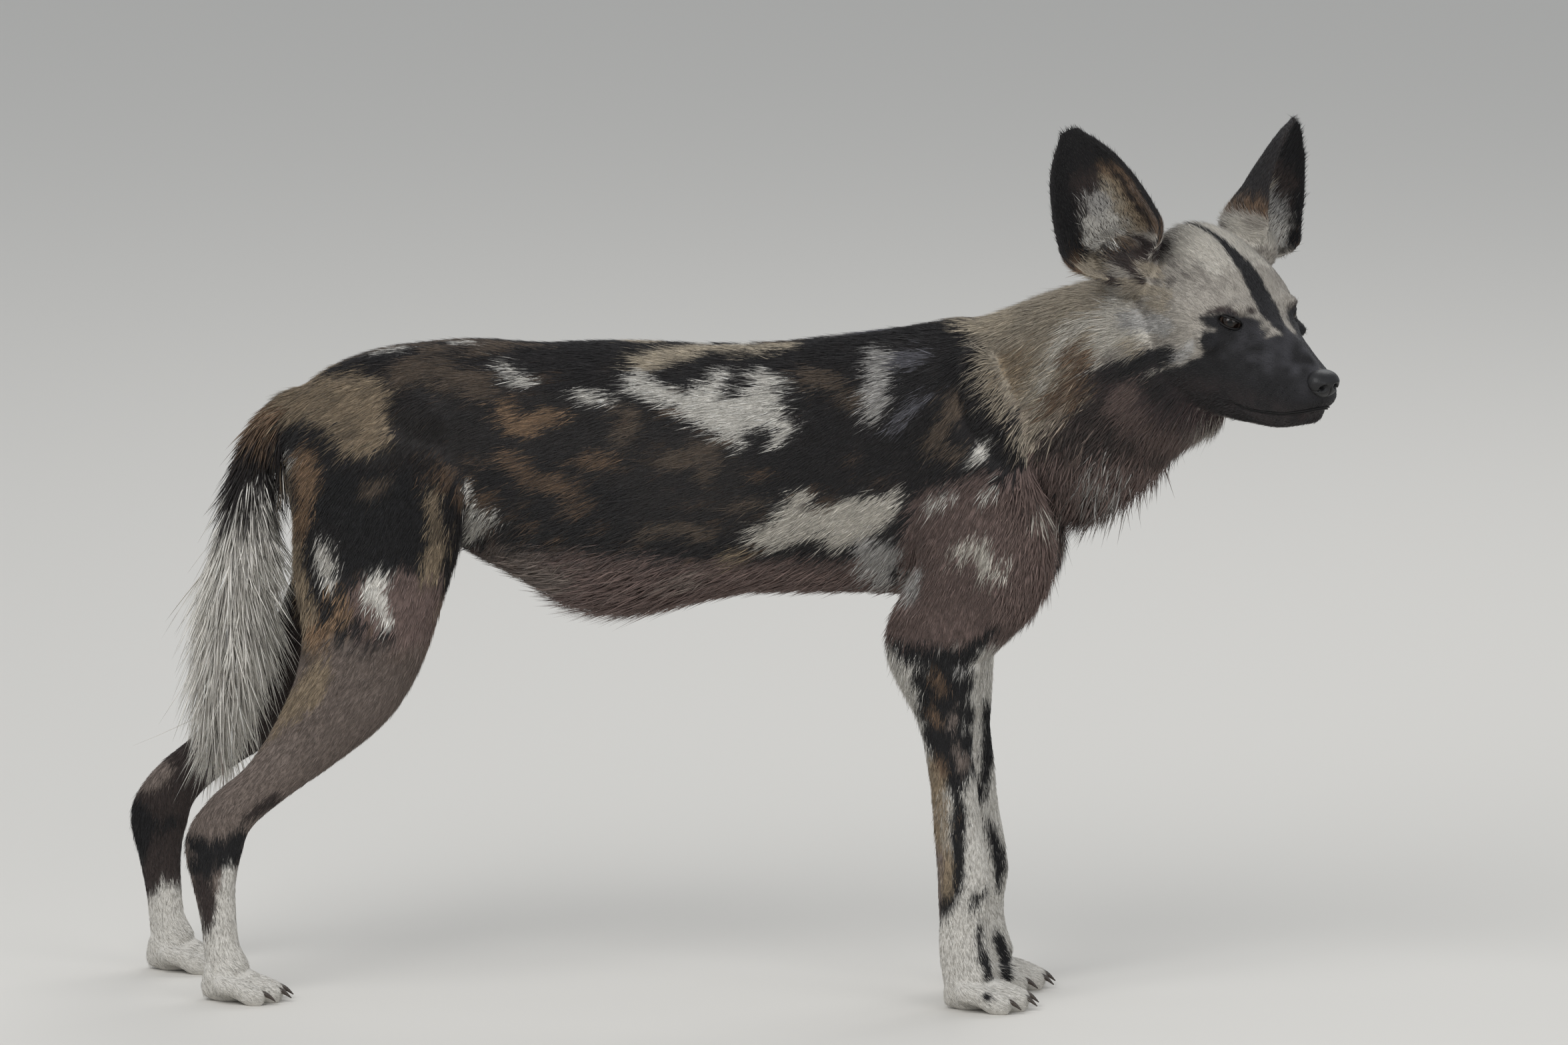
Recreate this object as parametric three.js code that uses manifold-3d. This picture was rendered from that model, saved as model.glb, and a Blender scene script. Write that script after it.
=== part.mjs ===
// African wild dog (Lycaon pictus), life size, standing with the head turned to its right.
// Millimetres, +Z up, +X towards the dog's front, +Y towards its left. The soles stand at z = 0.
import * as THREE from "three";
import { mergeVertices } from "three/addons/utils/BufferGeometryUtils.js";
import Module from "manifold-3d";

const wasm = await Module();
wasm.setup();

// ---- driving dimensions

// The part's origin lies under the middle of its bounding box, and the dog's own median plane is y = 0.
const MIDDLE = [3, -24];
const GAP = 0.3;
const FLOOR_DEPTH = 60;

// Trunk: x, back line, belly line, half-width, height of the widest point, roundness above and below it.
const TRUNK = [
  [-440, 596, 548, 30, 572, 2.0, 2.0],
  [-410, 619, 490, 58, 562, 2.1, 2.0],
  [-350, 642, 450, 79, 556, 2.2, 2.0],
  [-290, 651, 441, 82, 550, 2.3, 2.0],
  [-240, 654, 440, 80, 545, 2.3, 2.0],
  [-190, 655, 416, 84, 530, 2.3, 2.0],
  [-140, 654, 390, 92, 520, 2.2, 2.1],
  [-90, 653, 383, 98, 515, 2.2, 2.1],
  [-40, 652, 392, 102, 515, 2.2, 2.1],
  [10, 652, 402, 103, 520, 2.2, 2.1],
  [60, 655, 404, 100, 522, 2.1, 2.0],
  [110, 663, 404, 94, 522, 2.0, 1.9],
  [160, 671, 402, 87, 520, 1.9, 1.8],
  [210, 679, 402, 79, 518, 1.9, 1.8],
  [260, 684, 414, 68, 520, 1.9, 1.8],
  [305, 672, 438, 50, 525, 2.0, 1.9],
];
// A limb station: centre x, y, z, reach to the front or top, to the back or below, and to each side.
const NECK = [
  [180, 0, 560, 112, 122, 66],
  [245, 0, 578, 102, 122, 68],
  [305, -4, 603, 95, 122, 70],
  [358, -12, 630, 90, 120, 72],
  [408, -24, 652, 82, 108, 72],
  [452, -42, 668, 70, 96, 66],
];
const FORE_LEG = [
  [226, 50, 572, 50, 50, 20],
  [250, 66, 505, 66, 64, 32],
  [256, 72, 445, 68, 66, 36],
  [234, 70, 402, 58, 60, 33],
  [212, 68, 366, 50, 54, 29],
  [214, 65, 333, 42, 43, 25],
  [220, 62, 298, 32, 32, 23],
  [222, 60, 262, 26, 26, 21],
  [227, 58, 222, 25, 25, 20],
  [231, 57, 182, 25, 26, 20],
  [236, 56, 145, 27, 28, 21],
  [238, 55, 118, 28, 29, 21],
  [236, 55, 88, 26, 26, 20],
  [238, 55, 60, 26, 28, 22],
  [246, 55, 32, 26, 32, 25],
];
const HIND_LEG = [
  [-338, 42, 606, 46, 56, 22],
  [-340, 62, 548, 82, 88, 36],
  [-338, 74, 484, 86, 86, 43],
  [-345, 79, 424, 78, 78, 41],
  [-352, 82, 366, 66, 64, 36],
  [-371, 82, 314, 55, 53, 31],
  [-409, 81, 262, 38, 38, 25],
  [-450, 80, 219, 27, 27, 20],
  [-484, 79, 187, 27, 28, 19],
  [-500, 78, 155, 30, 32, 20],
  [-501, 78, 118, 24, 24, 18],
  [-498, 77, 84, 21, 20, 17],
  [-494, 76, 52, 20, 20, 19],
  [-486, 76, 30, 22, 26, 23],
];
const TAIL = [
  [-408, 0, 590, 24, 26, 30],
  [-438, 0, 577, 27, 27, 29],
  [-459, 0, 546, 26, 26, 27],
  [-472, 0, 505, 28, 27, 27],
  [-480, 0, 460, 30, 28, 28],
  [-487, 0, 410, 30, 30, 28],
  [-494, 0, 360, 29, 28, 27],
  [-501, 0, 316, 25, 24, 24],
  [-507, 0, 276, 15, 15, 15],
];
// How far the left fore and hind foot stand ahead of the right one, and where the shift fades out above.
const LEFT_FORE_LEAD = 8;
const LEFT_HIND_LEAD = -72;
const LEAD_FADE = { fore: [420, 250], hind: [520, 200] };

// Head: the point midway between the eyes, its turn to the right and its dip, in degrees.
const EYES_MIDDLE = [526, -89, 698];
const HEAD_TURN = 43;
const HEAD_DIP = 12;
// Head sections along its own axis from the eyes: x, top, bottom, cheek half-width, cheek height,
// half-width near the crown and near the jaw, both as shares of the cheek's.
const HEAD = [
  [-134, 38, -84, 50, -24, 0.72, 0.7],
  [-112, 60, -100, 66, -24, 0.72, 0.7],
  [-80, 64, -110, 76, -26, 0.7, 0.68],
  [-45, 55, -111, 77, -30, 0.72, 0.66],
  [-18, 43, -108, 67, -30, 0.78, 0.64],
  [4, 26, -106, 54, -34, 0.8, 0.68],
  [28, 9, -102, 43, -42, 0.72, 0.72],
  [56, -4, -96, 37, -48, 0.66, 0.78],
  [80, -15, -85, 33, -50, 0.64, 0.8],
  [95, -21, -70, 28, -47, 0.68, 0.8],
  [103, -28, -60, 19, -45, 0.72, 0.8],
];
const EYE = { at: [-1, 35.5, 0], radius: 12, lid: 3.6, out: 46, up: 8, slit: [26, 13] };
const NOSE = { at: [101, 0, -33], size: [13, 18, 12.5] };
const NOSTRIL = { at: [112.5, 9, -34], size: [6, 3.6, 4.4] };
const MOUTH = {
  line: [[101, -60], [80, -69], [58, -75], [36, -79], [16, -78]],
  deep: 5,
  wide: 1.8,
  lip: 3,
};
// Ears: root and tip, and the way that the cup opens, in the head's own frame.
const EARS = {
  right: { root: [-119, -70, 20], tip: [-165, -131, 152], opens: [0.77, -0.63, -0.1] },
  left: { root: [-94, 66, 34], tip: [-126, 138, 146], opens: [0.97, 0.24, -0.1] },
};
// An ear's half-width, the half-angle that its cup spans and its thickness, from root to tip.
const EAR = [
  [27, 150, 6],
  [42, 120, 5],
  [50, 96, 5],
  [49, 84, 4.6],
  [46, 78, 4.4],
  [41, 72, 4.2],
  [34, 68, 4],
  [23, 64, 3.6],
  [9, 60, 3.2],
];
const EAR_CUT = 24;

const PAW = {
  fore: { at: [252, 55], length: 50, toe: 12.5, spread: 15 },
  hind: { at: [-479, 76], length: 46, toe: 11.5, spread: 14 },
};
const CLAW = { length: 13, radius: 3.2 };

// ---- small helpers

const v3 = (p) => new THREE.Vector3(...p);
const rad = THREE.MathUtils.degToRad;

// Repeatable draws between -1 and 1.
function dice(seed) {
  let state = seed;
  return () => {
    state = (state * 16807) % 2147483647;
    return (state / 2147483647) * 2 - 1;
  };
}

// A row of a table at the share t of its length, on a smooth curve through all rows.
function along(table, t) {
  const f = Math.min(Math.max(t, 0), 1) * (table.length - 1);
  const i = Math.min(Math.floor(f), table.length - 2);
  const u = f - i;
  const row = (k) => table[Math.min(Math.max(k, 0), table.length - 1)];
  return table[0].map((_, c) => {
    const [a, b, d, e] = [row(i - 1)[c], row(i)[c], row(i + 1)[c], row(i + 2)[c]];
    const [square, cube] = [2 * a - 5 * b + 4 * d - e, 3 * b - a - 3 * d + e];
    return 0.5 * (2 * b + (d - a) * u + square * u * u + cube * u ** 3);
  });
}

// A closed solid from a geometry of any kind, turned and moved by a frame.
function solid(geometry, frame = new THREE.Matrix4()) {
  const g = (geometry.index ? geometry.toNonIndexed() : geometry.clone()).applyMatrix4(frame);
  const bare = new THREE.BufferGeometry().setAttribute("position", g.getAttribute("position"));
  const merged = mergeVertices(bare, 1e-4);
  const triVerts = new Uint32Array(merged.index.array);
  const vertProperties = merged.attributes.position.array;
  if (volume(vertProperties, triVerts) < 0) triVerts.reverse();
  return new wasm.Manifold(new wasm.Mesh({ numProp: 3, vertProperties, triVerts }));
}

// The signed volume within a closed mesh.
function volume(points, tris) {
  const corner = (k) => new THREE.Vector3().fromArray(points, 3 * tris[k]);
  let sum = 0;
  for (let i = 0; i < tris.length; i += 3) sum += corner(i).dot(corner(i + 1).cross(corner(i + 2))) / 6;
  return sum;
}

const join = (solids) => solids.reduce((a, b) => a.add(b));

// Only the largest closed surface of a solid.
function largest(made) {
  const size = (piece) => {
    const { vertProperties, triVerts } = piece.getMesh();
    return volume(vertProperties, triVerts);
  };
  return made.decompose().reduce((a, b) => (size(b) > size(a) ? b : a));
}

// Closed rings of points, one after the other, with a fan at each end.
function skinOf(rings) {
  const n = rings[0].length;
  const points = rings.flat();
  const middle = (ring) => ring.reduce((s, p) => s.add(p), new THREE.Vector3()).divideScalar(n);
  points.push(middle(rings[0]), middle(rings[rings.length - 1]));
  const index = [];
  for (let i = 0; i + 1 < rings.length; i++)
    for (let j = 0; j < n; j++) {
      const [a, b] = [i * n + j, i * n + ((j + 1) % n)];
      index.push(a, b, a + n, b, b + n, a + n);
    }
  const last = (rings.length - 1) * n;
  for (let j = 0; j < n; j++) {
    index.push(points.length - 2, (j + 1) % n, j);
    index.push(points.length - 1, last + j, last + ((j + 1) % n));
  }
  return new THREE.BufferGeometry().setFromPoints(points).setIndex(index);
}

const power = (c, n) => Math.sign(c) * Math.abs(c) ** (2 / n);

// ---- lofts

// The place, frame and section of a limb at a share t.
// The frame is the way along, the way to the left, and the way up or forward.
function limbAt(table, t) {
  const [x, y, z, up, down, side, above = 2, below = 2] = along(table, t);
  const step = 0.5 / (table.length - 1);
  const centre = (share) => v3(along(table, share).slice(0, 3));
  const ahead = centre(t + step).sub(centre(t - step)).normalize();
  const left = new THREE.Vector3(0, 1, 0).addScaledVector(ahead, -ahead.y).normalize();
  const way = ahead.clone().cross(left);
  return { at: new THREE.Vector3(x, y, z), ahead, left, up: way, reach: { up, down, side }, above, below };
}

// A point on a limb's surface at a share t and an angle from its left side, grown outwards by more.
function limbPoint(table, t, angle, more = 0, shrink = 1, shift = 0) {
  const f = limbAt(table, t);
  const [c, s] = [Math.cos(angle), Math.sin(angle)];
  const n = s > 0 ? f.above : f.below;
  const high = (s > 0 ? f.reach.up : f.reach.down) + more;
  return f.at
    .clone()
    .addScaledVector(f.left, (f.reach.side + more) * shrink * power(c, n))
    .addScaledVector(f.up, high * shrink * power(s, n))
    .addScaledVector(f.ahead, shift);
}

// A limb as a solid with rounded ends.
function limb(table, sides, steps, { more = 0, dome = 0.5, cap = [rad(65), rad(35)] } = {}) {
  const turns = Array.from({ length: sides }, (_, j) => (2 * Math.PI * j) / sides);
  const ring = (t, shrink, shift) => turns.map((angle) => limbPoint(table, t, angle, more, shrink, shift));
  const rings = [];
  const reach = (t) => dome * limbAt(table, t).reach.side;
  for (const a of cap) rings.push(ring(0, Math.cos(a), -reach(0) * Math.sin(a)));
  for (let i = 0; i <= steps; i++) rings.push(ring(i / steps, 1, 0));
  for (const a of [...cap].reverse()) rings.push(ring(1, Math.cos(a), reach(1) * Math.sin(a)));
  return solid(skinOf(rings));
}

// A leg table for one side, with its foot set ahead of the other one's by lead.
function legTable(table, side, lead, [high, low]) {
  return table.map(([x, y, z, ...reach]) => {
    const share = Math.min(Math.max((high - z) / (high - low), 0), 1);
    const eased = share * share * (3 - 2 * share);
    return [x + lead * eased, side * y, z, ...reach];
  });
}

// The trunk's table as a limb's: the widest point's height is the centre.
const trunkTable = TRUNK.map(([x, top, bottom, half, z, above, below]) => {
  return [x, 0, z, top - z, z - bottom, half, above, below];
});

// ---- head

const headFrame = new THREE.Matrix4()
  .makeTranslation(...EYES_MIDDLE)
  .multiply(new THREE.Matrix4().makeRotationZ(-rad(HEAD_TURN)))
  .multiply(new THREE.Matrix4().makeRotationY(rad(HEAD_DIP)));
const inHead = (p) => v3(p).applyMatrix4(headFrame);

// Half of a head section from the crown down to the throat, as points that a smooth closed curve joins.
function headRing(t, sides, more) {
  const [x, top, bottom, cheek, z, crown, jaw] = along(HEAD, t);
  const half = [
    [0, top + more],
    [(cheek + more) * crown * 0.62, z + (top + more - z) * 0.9],
    [(cheek + more) * (crown * 0.35 + 0.65), z + (top - z) * 0.52],
    [cheek + more, z],
    [(cheek + more) * (jaw * 0.45 + 0.55), z - (z - bottom) * 0.5],
    [(cheek + more) * jaw * 0.62, z - (z - bottom + more) * 0.9],
    [0, bottom - more],
  ];
  const whole = [...half, ...half.slice(1, -1).reverse().map(([y, h]) => [-y, h])];
  const curve = new THREE.CatmullRomCurve3(whole.map(([y, h]) => new THREE.Vector3(x, y, h)), true);
  return Array.from({ length: sides }, (_, j) => curve.getPoint(j / sides));
}

function headLoft(sides, steps, more = 0) {
  const rings = Array.from({ length: steps + 1 }, (_, i) => headRing(i / steps, sides, more));
  const snout = headRing(1, sides, more);
  const tip = snout.reduce((s, p) => s.add(p), new THREE.Vector3()).divideScalar(sides);
  rings.push(snout.map((p) => p.lerp(tip, 0.4).add(new THREE.Vector3(3, 0, 0))));
  return solid(skinOf(rings), headFrame);
}

// A ball on the head, stretched to three half-sizes.
function headBall(at, size, around = 11, down = 7) {
  return solid(new THREE.SphereGeometry(1, around, down).scale(...size).translate(...at), headFrame);
}

const mirrored = (p, side) => [p[0], side * p[1], p[2]];

// Turns the x axis to point outwards and up from an eye.
function eyeTurn(side) {
  const lift = new THREE.Matrix4().makeRotationY(-rad(EYE.up));
  return new THREE.Matrix4().makeRotationZ(rad(side * EYE.out)).multiply(lift);
}

// The almond opening between the lids, as a short prism along the way that the eye looks.
function lidOpening(side) {
  const [w, h] = EYE.slit.map((s) => s / 2);
  const shape = new THREE.Shape();
  shape.moveTo(-w, 0);
  shape.quadraticCurveTo(-w * 0.2, h * 1.9, w, 0);
  shape.quadraticCurveTo(0, -h * 1.7, -w, 0);
  const prism = new THREE.ExtrudeGeometry(shape, { depth: 30, bevelEnabled: false, curveSegments: 4 });
  prism.rotateX(Math.PI / 2).rotateZ(Math.PI / 2);
  prism.applyMatrix4(eyeTurn(side)).translate(...mirrored(EYE.at, side));
  return solid(prism, headFrame);
}

function eyeBall(side, more = 0) {
  return headBall(mirrored(EYE.at, side), Array(3).fill(EYE.radius + more), 11, 7);
}

// How far out the head's surface lies from the median plane at a place along it.
function headHalfWidth(x, z) {
  let best = 0;
  for (let i = 0; i <= 60; i++) {
    const ring = headRing(i / 60, 48, 0);
    if (Math.abs(ring[0].x - x) > 2.5) continue;
    for (const p of ring) if (Math.abs(p.z - z) < 3) best = Math.max(best, p.y);
  }
  return best;
}

// The mouth: a shallow groove round the muzzle.
function mouthCut() {
  const [first, last] = [MOUTH.line[0], MOUTH.line[MOUTH.line.length - 1]];
  const path = [[first[0] + 20, first[1] + 2], ...MOUTH.line];
  const shape = new THREE.Shape();
  shape.moveTo(path[0][0], path[0][1] + MOUTH.wide / 2);
  path.slice(1).forEach(([x, z]) => shape.lineTo(x, z + MOUTH.wide / 2));
  shape.lineTo(last[0] - 3, last[1]);
  [...path].reverse().forEach(([x, z]) => shape.lineTo(x, z - MOUTH.wide / 2));
  const slab = new THREE.ExtrudeGeometry(shape, { depth: 120, bevelEnabled: false });
  slab.translate(0, 0, -60).rotateX(Math.PI / 2);
  return solid(slab, headFrame).subtract(headLoft(12, 9, -MOUTH.deep));
}

// The lips: a low ridge above and below the mouth on one side.
function lips(side) {
  return [1, -1].map((above) => {
    const points = MOUTH.line.slice(1).map(([x, z]) => {
      const h = z + above * (MOUTH.lip + MOUTH.wide / 2 - 0.6);
      return new THREE.Vector3(x, side * (headHalfWidth(x, h) - MOUTH.lip * 0.5), h);
    });
    const section = new THREE.Shape().absarc(0, 0, MOUTH.lip, 0, 2 * Math.PI);
    const extrudePath = new THREE.CatmullRomCurve3(points);
    const settings = { steps: 4, curveSegments: 3, extrudePath, bevelEnabled: false };
    return solid(new THREE.ExtrudeGeometry(section, settings), headFrame);
  });
}

function head() {
  const lids = [1, -1].map((side) => headBall(mirrored(EYE.at, side), Array(3).fill(EYE.radius + EYE.lid)));
  const earRoots = Object.values(EARS).map(({ root }) => headBall(root, [38, 28, 32], 9, 6));
  const nose = headBall(NOSE.at, NOSE.size);
  const whole = join([headLoft(22, 17), ...lids, ...lips(1), ...lips(-1), ...earRoots, nose]);
  const holes = [1, -1].flatMap((side) => [
    eyeBall(side, GAP),
    lidOpening(side),
    headBall(mirrored(NOSTRIL.at, side), NOSTRIL.size, 7, 5),
  ]);
  return whole.subtract(mouthCut()).subtract(join(holes));
}

// The frame of an ear: its root, its axis, the way that it opens and the way across.
function earFrame({ root, tip, opens }) {
  const axis = v3(tip).sub(v3(root));
  const up = axis.clone().normalize();
  const open = v3(opens).addScaledVector(up, -v3(opens).dot(up)).normalize();
  return { root: v3(root), length: axis.length(), up, open, across: up.clone().cross(open) };
}

// A point on an ear at a share of its length and an angle round the cup from its back, moved out.
function earPoint(frame, s, angle, out) {
  const [half, span] = along(EAR, s);
  const radius = half / Math.sin(rad(Math.min(span, 90)));
  const a = angle * rad(span);
  const depth = radius * (1 - Math.cos(rad(span)));
  return frame.root
    .clone()
    .addScaledVector(frame.up, s * frame.length)
    .addScaledVector(frame.across, (radius + out) * Math.sin(a))
    .addScaledVector(frame.open, radius - depth / 2 - (radius + out) * Math.cos(a));
}

// A cupped ear: a funnel at its root that opens out to a broad rounded leaf.
function ear(side) {
  const frame = earFrame(EARS[side]);
  const [rows, columns] = [12, 10];
  const rings = Array.from({ length: rows + 1 }, (_, i) => {
    const s = i / rows;
    const thick = along(EAR, s)[2];
    const face = (out, way) =>
      Array.from({ length: columns + 1 }, (_, j) => earPoint(frame, s, way * ((2 * j) / columns - 1), out));
    return [...face(thick / 2, 1), ...face(-thick / 2, -1)];
  });
  return solid(skinOf(rings), headFrame);
}

// ---- paws

// One toe: a low arched limb that ends in a pad, with its claw.
function toe(at, aim, length, radius) {
  const [x, y] = at;
  const [dx, dy] = [Math.cos(aim), Math.sin(aim)];
  const p = (s, z) => [x + dx * s * length, y + dy * s * length, z];
  const r = radius;
  const table = [
    [...p(-0.25, r * 1.75), r * 0.75, r * 0.9, r * 0.8],
    [...p(0.25, r * 1.6), r * 0.85, r * 1.1, r * 0.92],
    [...p(0.66, r * 1.02), r * 0.85, r * 1.24, r * 0.98],
    [...p(0.9, r * 0.85), r * 0.62, r * 1.02, r * 0.76],
  ];
  const c = CLAW.radius;
  const claw = [
    [...p(0.86, r * 1.0), c, c, c * 0.8],
    [...p(0.86 + (0.55 * CLAW.length) / length, r * 0.92), c * 0.75, c * 0.8, c * 0.6],
    [...p(0.86 + CLAW.length / length, r * 0.45), c * 0.2, c * 0.2, c * 0.2],
  ];
  return limb(table, 7, 3, { cap: [rad(50)] }).add(limb(claw, 4, 1, { cap: [] }));
}

// A paw: four toes side by side, the two middle ones longer, before a heel pad.
function paw({ at, length, toe: radius, spread }, side, lead) {
  const [x, y] = [at[0] + lead, side * at[1]];
  const toes = [-1.5, -0.5, 0.5, 1.5].map((k) => {
    const inner = Math.abs(k) < 1;
    const reach = inner ? length : length * 0.84;
    return toe([x + (inner ? 0 : -7), y + k * spread], rad(k * 5), reach, radius * (inner ? 1 : 0.94));
  });
  const heel = [
    [x - 26, y, 26, 20, 25, 17],
    [x - 8, y, 22, 17, 26, 23],
    [x + 12, y, 18, 13, 20, 21],
  ];
  return join([...toes, limb(heel, 8, 2, { cap: [rad(50)] })]);
}

// ---- parting

// A box region: its middle, half-sizes and turn about Y, in degrees, grown by more on every face.
function region(at, half, tilt = 0, more = 0) {
  const size = half.map((h) => 2 * (h + more));
  return solid(new THREE.BoxGeometry(...size).rotateY(-rad(tilt)).translate(...at));
}

// The regions that the parting follows, from the outermost parts inwards.
function headRegion(more) {
  const box = new THREE.BoxGeometry(...[260, 260, 400].map((s) => s + 2 * more));
  return solid(box.rotateY(-rad(20)).translate(4, 0, 19), headFrame);
}

function earRegion(side, more) {
  const frame = earFrame(EARS[side]);
  const turn = new THREE.Matrix4().makeBasis(frame.across, frame.open, frame.up);
  const middle = frame.root.clone().addScaledVector(frame.up, EAR_CUT + 100);
  const box = new THREE.BoxGeometry(...[150, 150, 200].map((s) => s + 2 * more));
  return solid(box.applyMatrix4(turn).translate(...middle), headFrame);
}

const neckRegion = (more) => region([439, 0, 610], [150, 140, 260], 22, more);
function foreRegion(side, more) {
  const upperArm = region([270, side * 96, 330], [135, 50, 110], 23, more);
  return region([230, side * 75, 196], [110, 60, 204], 0, more).add(upperArm);
}
const forePawRegion = (side, more) => region([260, side * 60, 5], [90, 70, 50], 0, more);
const hindRegion = (side, more) => region([-499, side * 92, 215], [150, 80, 310], -26, more);
const shankRegion = (side, more) => region([-560, side * 80, 140], [200, 70, 170], -22, more);
const hockRegion = (side, more) => region([-520, side * 78, 30], [110, 70, 130], 12, more);
const hindPawRegion = (side, more) => region([-500, side * 75, -5], [120, 70, 50], 0, more);
const tailRegion = (more) => region([-437 - 132, 0, 575 - 220], [132, 90, 220], 0, more);

// ---- locks of long hair

// A flat tapered lock along a path, with its broad side facing outwards.
function lock(path, faceOut, width, thick) {
  const rings = path.slice(0, -1).map((p, i) => {
    const ahead = path[i + 1].clone().sub(p).normalize();
    const wide = ahead.clone().cross(faceOut).normalize();
    const deep = wide.clone().cross(ahead);
    const share = i / (path.length - 1);
    const w = (width / 2) * (share < 0.3 ? 0.8 + share * 0.7 : 1.05 * (1 - ((share - 0.3) / 0.85) ** 1.6));
    const d = (thick / 2) * (1 - 0.5 * share);
    const corners = [wide.clone().multiplyScalar(w), deep.clone().multiplyScalar(d)];
    return [...corners, ...corners.map((c) => c.clone().negate())].map((c) => c.add(p));
  });
  const tip = path[path.length - 1];
  rings.push(rings[rings.length - 1].map((p) => p.clone().lerp(tip, 0.9)));
  return solid(skinOf(rings));
}

// The surface of a limb at a share of its length and an angle round it: the point and the way out.
function limbSurface(table, t, angle) {
  const at = limbPoint(table, t, angle);
  const along = limbPoint(table, t + 0.01, angle).sub(limbPoint(table, t - 0.01, angle));
  const round = limbPoint(table, t, angle + 0.05).sub(limbPoint(table, t, angle - 0.05));
  const out = round.cross(along).normalize();
  if (out.dot(at.clone().sub(limbAt(table, t).at)) < 0) out.negate();
  return { at, out };
}

// Rows of locks over a stretch of a limb. Every other row is set half a step round.
function locks(table, form) {
  const { along: [t0, t1], rows, round: [a0, a1], across } = form;
  const { lie, length, width, thick, sunk, lift, sag, seed } = form;
  const roll = dice(seed);
  const steps = 3;
  const made = [];
  for (let i = 0; i < rows; i++)
    for (let j = 0; j < across; j++) {
      const t = t0 + ((t1 - t0) * i) / Math.max(rows - 1, 1) + roll() * 0.01;
      const angle = rad(a0 + ((a1 - a0) * (j + (i % 2 ? 0.75 : 0.25))) / across + roll() * 4);
      const { at, out } = limbSurface(table, t, angle);
      const way = v3(lie).addScaledVector(out, -v3(lie).dot(out)).normalize();
      const rise = rad(lift * (0.55 + (0.45 * i) / rows) + roll() * 4);
      way.multiplyScalar(Math.cos(rise)).addScaledVector(out, Math.sin(rise));
      const reach = length * (1 + roll() * 0.14);
      const path = Array.from({ length: steps + 1 }, (_, k) => {
        const s = k / steps;
        const p = at.clone().addScaledVector(out, -sunk).addScaledVector(way, s * reach);
        return p.add(new THREE.Vector3(0, roll() * 1.5 * s, -sag * reach * s * s));
      });
      made.push(lock(path, out, width * (1 + roll() * 0.12), thick));
    }
  return made;
}

const RUFF_LOCKS = {
  along: [0.4, 0.98], rows: 4, round: [196, 344], across: 5, lie: [0.3, -0.06, -1],
  length: 68, width: 34, thick: 9, sunk: 12, lift: 30, sag: 0.1, seed: 11,
};
const BELLY_LOCKS = {
  along: [0.36, 0.68], rows: 6, round: [238, 302], across: 3, lie: [-0.9, 0, -0.6],
  length: 56, width: 34, thick: 8, sunk: 8, lift: 28, sag: 0.16, seed: 23,
};
const TAIL_LOCKS = {
  along: [0.26, 0.94], rows: 5, round: [0, 360], across: 5, lie: [0, 0, -1],
  length: 98, width: 38, thick: 10, sunk: 7, lift: 19, sag: 0.04, seed: 37,
};

// ---- the whole

const sides = { right: -1, left: 1 };
const foreTables = {
  right: legTable(FORE_LEG, -1, 0, LEAD_FADE.fore),
  left: legTable(FORE_LEG, 1, LEFT_FORE_LEAD, LEAD_FADE.fore),
};
const hindTables = {
  right: legTable(HIND_LEG, -1, 0, LEAD_FADE.hind),
  left: legTable(HIND_LEG, 1, LEFT_HIND_LEAD, LEAD_FADE.hind),
};
const floor = region([0, 0, -FLOOR_DEPTH / 2], [900, 400, FLOOR_DEPTH / 2]);

const body = (more = 0) =>
  join([
    limb(trunkTable, 20, 17, { more }),
    ...Object.keys(sides).flatMap((side) => [
      limb(foreTables[side], 10, 18, { more }),
      limb(hindTables[side], 10, 18, { more }),
    ]),
  ]);
const tailLimb = limb(TAIL, 8, 9);
const tail = join([tailLimb, ...locks(TAIL, TAIL_LOCKS)]);

let flesh = join([
  body(),
  limb(NECK, 18, 6),
  ...locks(NECK, RUFF_LOCKS),
  ...locks(trunkTable, BELLY_LOCKS),
  head(),
  ear("right"),
  ear("left"),
  tailLimb.subtract(tailRegion(GAP)),
  ...Object.entries(sides).flatMap(([side, sign]) => [
    paw(PAW.fore, sign, side === "left" ? LEFT_FORE_LEAD : 0),
    paw(PAW.hind, sign, side === "left" ? LEFT_HIND_LEAD : 0),
  ]),
]).subtract(floor);

const nodes = {};
// Moves what lies in a region out of the flesh into a node of its own, with a thin gap between them.
function part(name, make) {
  nodes[name] = largest(flesh.intersect(make(0)));
  flesh = flesh.subtract(make(GAP));
}

part("ear_right", (more) => earRegion("right", more));
part("ear_left", (more) => earRegion("left", more));
part("head", headRegion);
for (const [side, sign] of Object.entries(sides)) {
  part("forepaw_" + side, (more) => forePawRegion(sign, more));
  part("hindpaw_" + side, (more) => hindPawRegion(sign, more));
  part("foreleg_" + side, (more) => foreRegion(sign, more));
  part("hock_" + side, (more) => hockRegion(sign, more));
  part("shank_" + side, (more) => shankRegion(sign, more));
  part("thigh_" + side, (more) => hindRegion(sign, more));
}
part("neck", neckRegion);
nodes.torso = largest(flesh);
nodes.tail = largest(tail.intersect(tailRegion(0)).subtract(body(GAP)));
for (const [side, sign] of Object.entries(sides)) nodes["eye_" + side] = eyeBall(sign);

// ---- finished meshes

const finish = (color, roughness) => new THREE.MeshStandardMaterial({ color, roughness, metalness: 0 });
const coats = {
  head: finish("#6b6052", 0.9),
  neck: finish("#8a7458", 0.9),
  torso: finish("#3a342f", 0.9),
  ear: finish("#2b2522", 0.9),
  leg: finish("#6f5b45", 0.9),
  thigh: finish("#5d4a39", 0.9),
  shank: finish("#7a644c", 0.9),
  hock: finish("#8d8478", 0.9),
  paw: finish("#b9b2a8", 0.9),
  tail: finish("#c9c2b6", 0.9),
  eye: finish("#2a1608", 0.15),
};
const coatOf = (name) => coats[Object.keys(coats).find((k) => name.includes(k))] ?? coats.torso;

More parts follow.
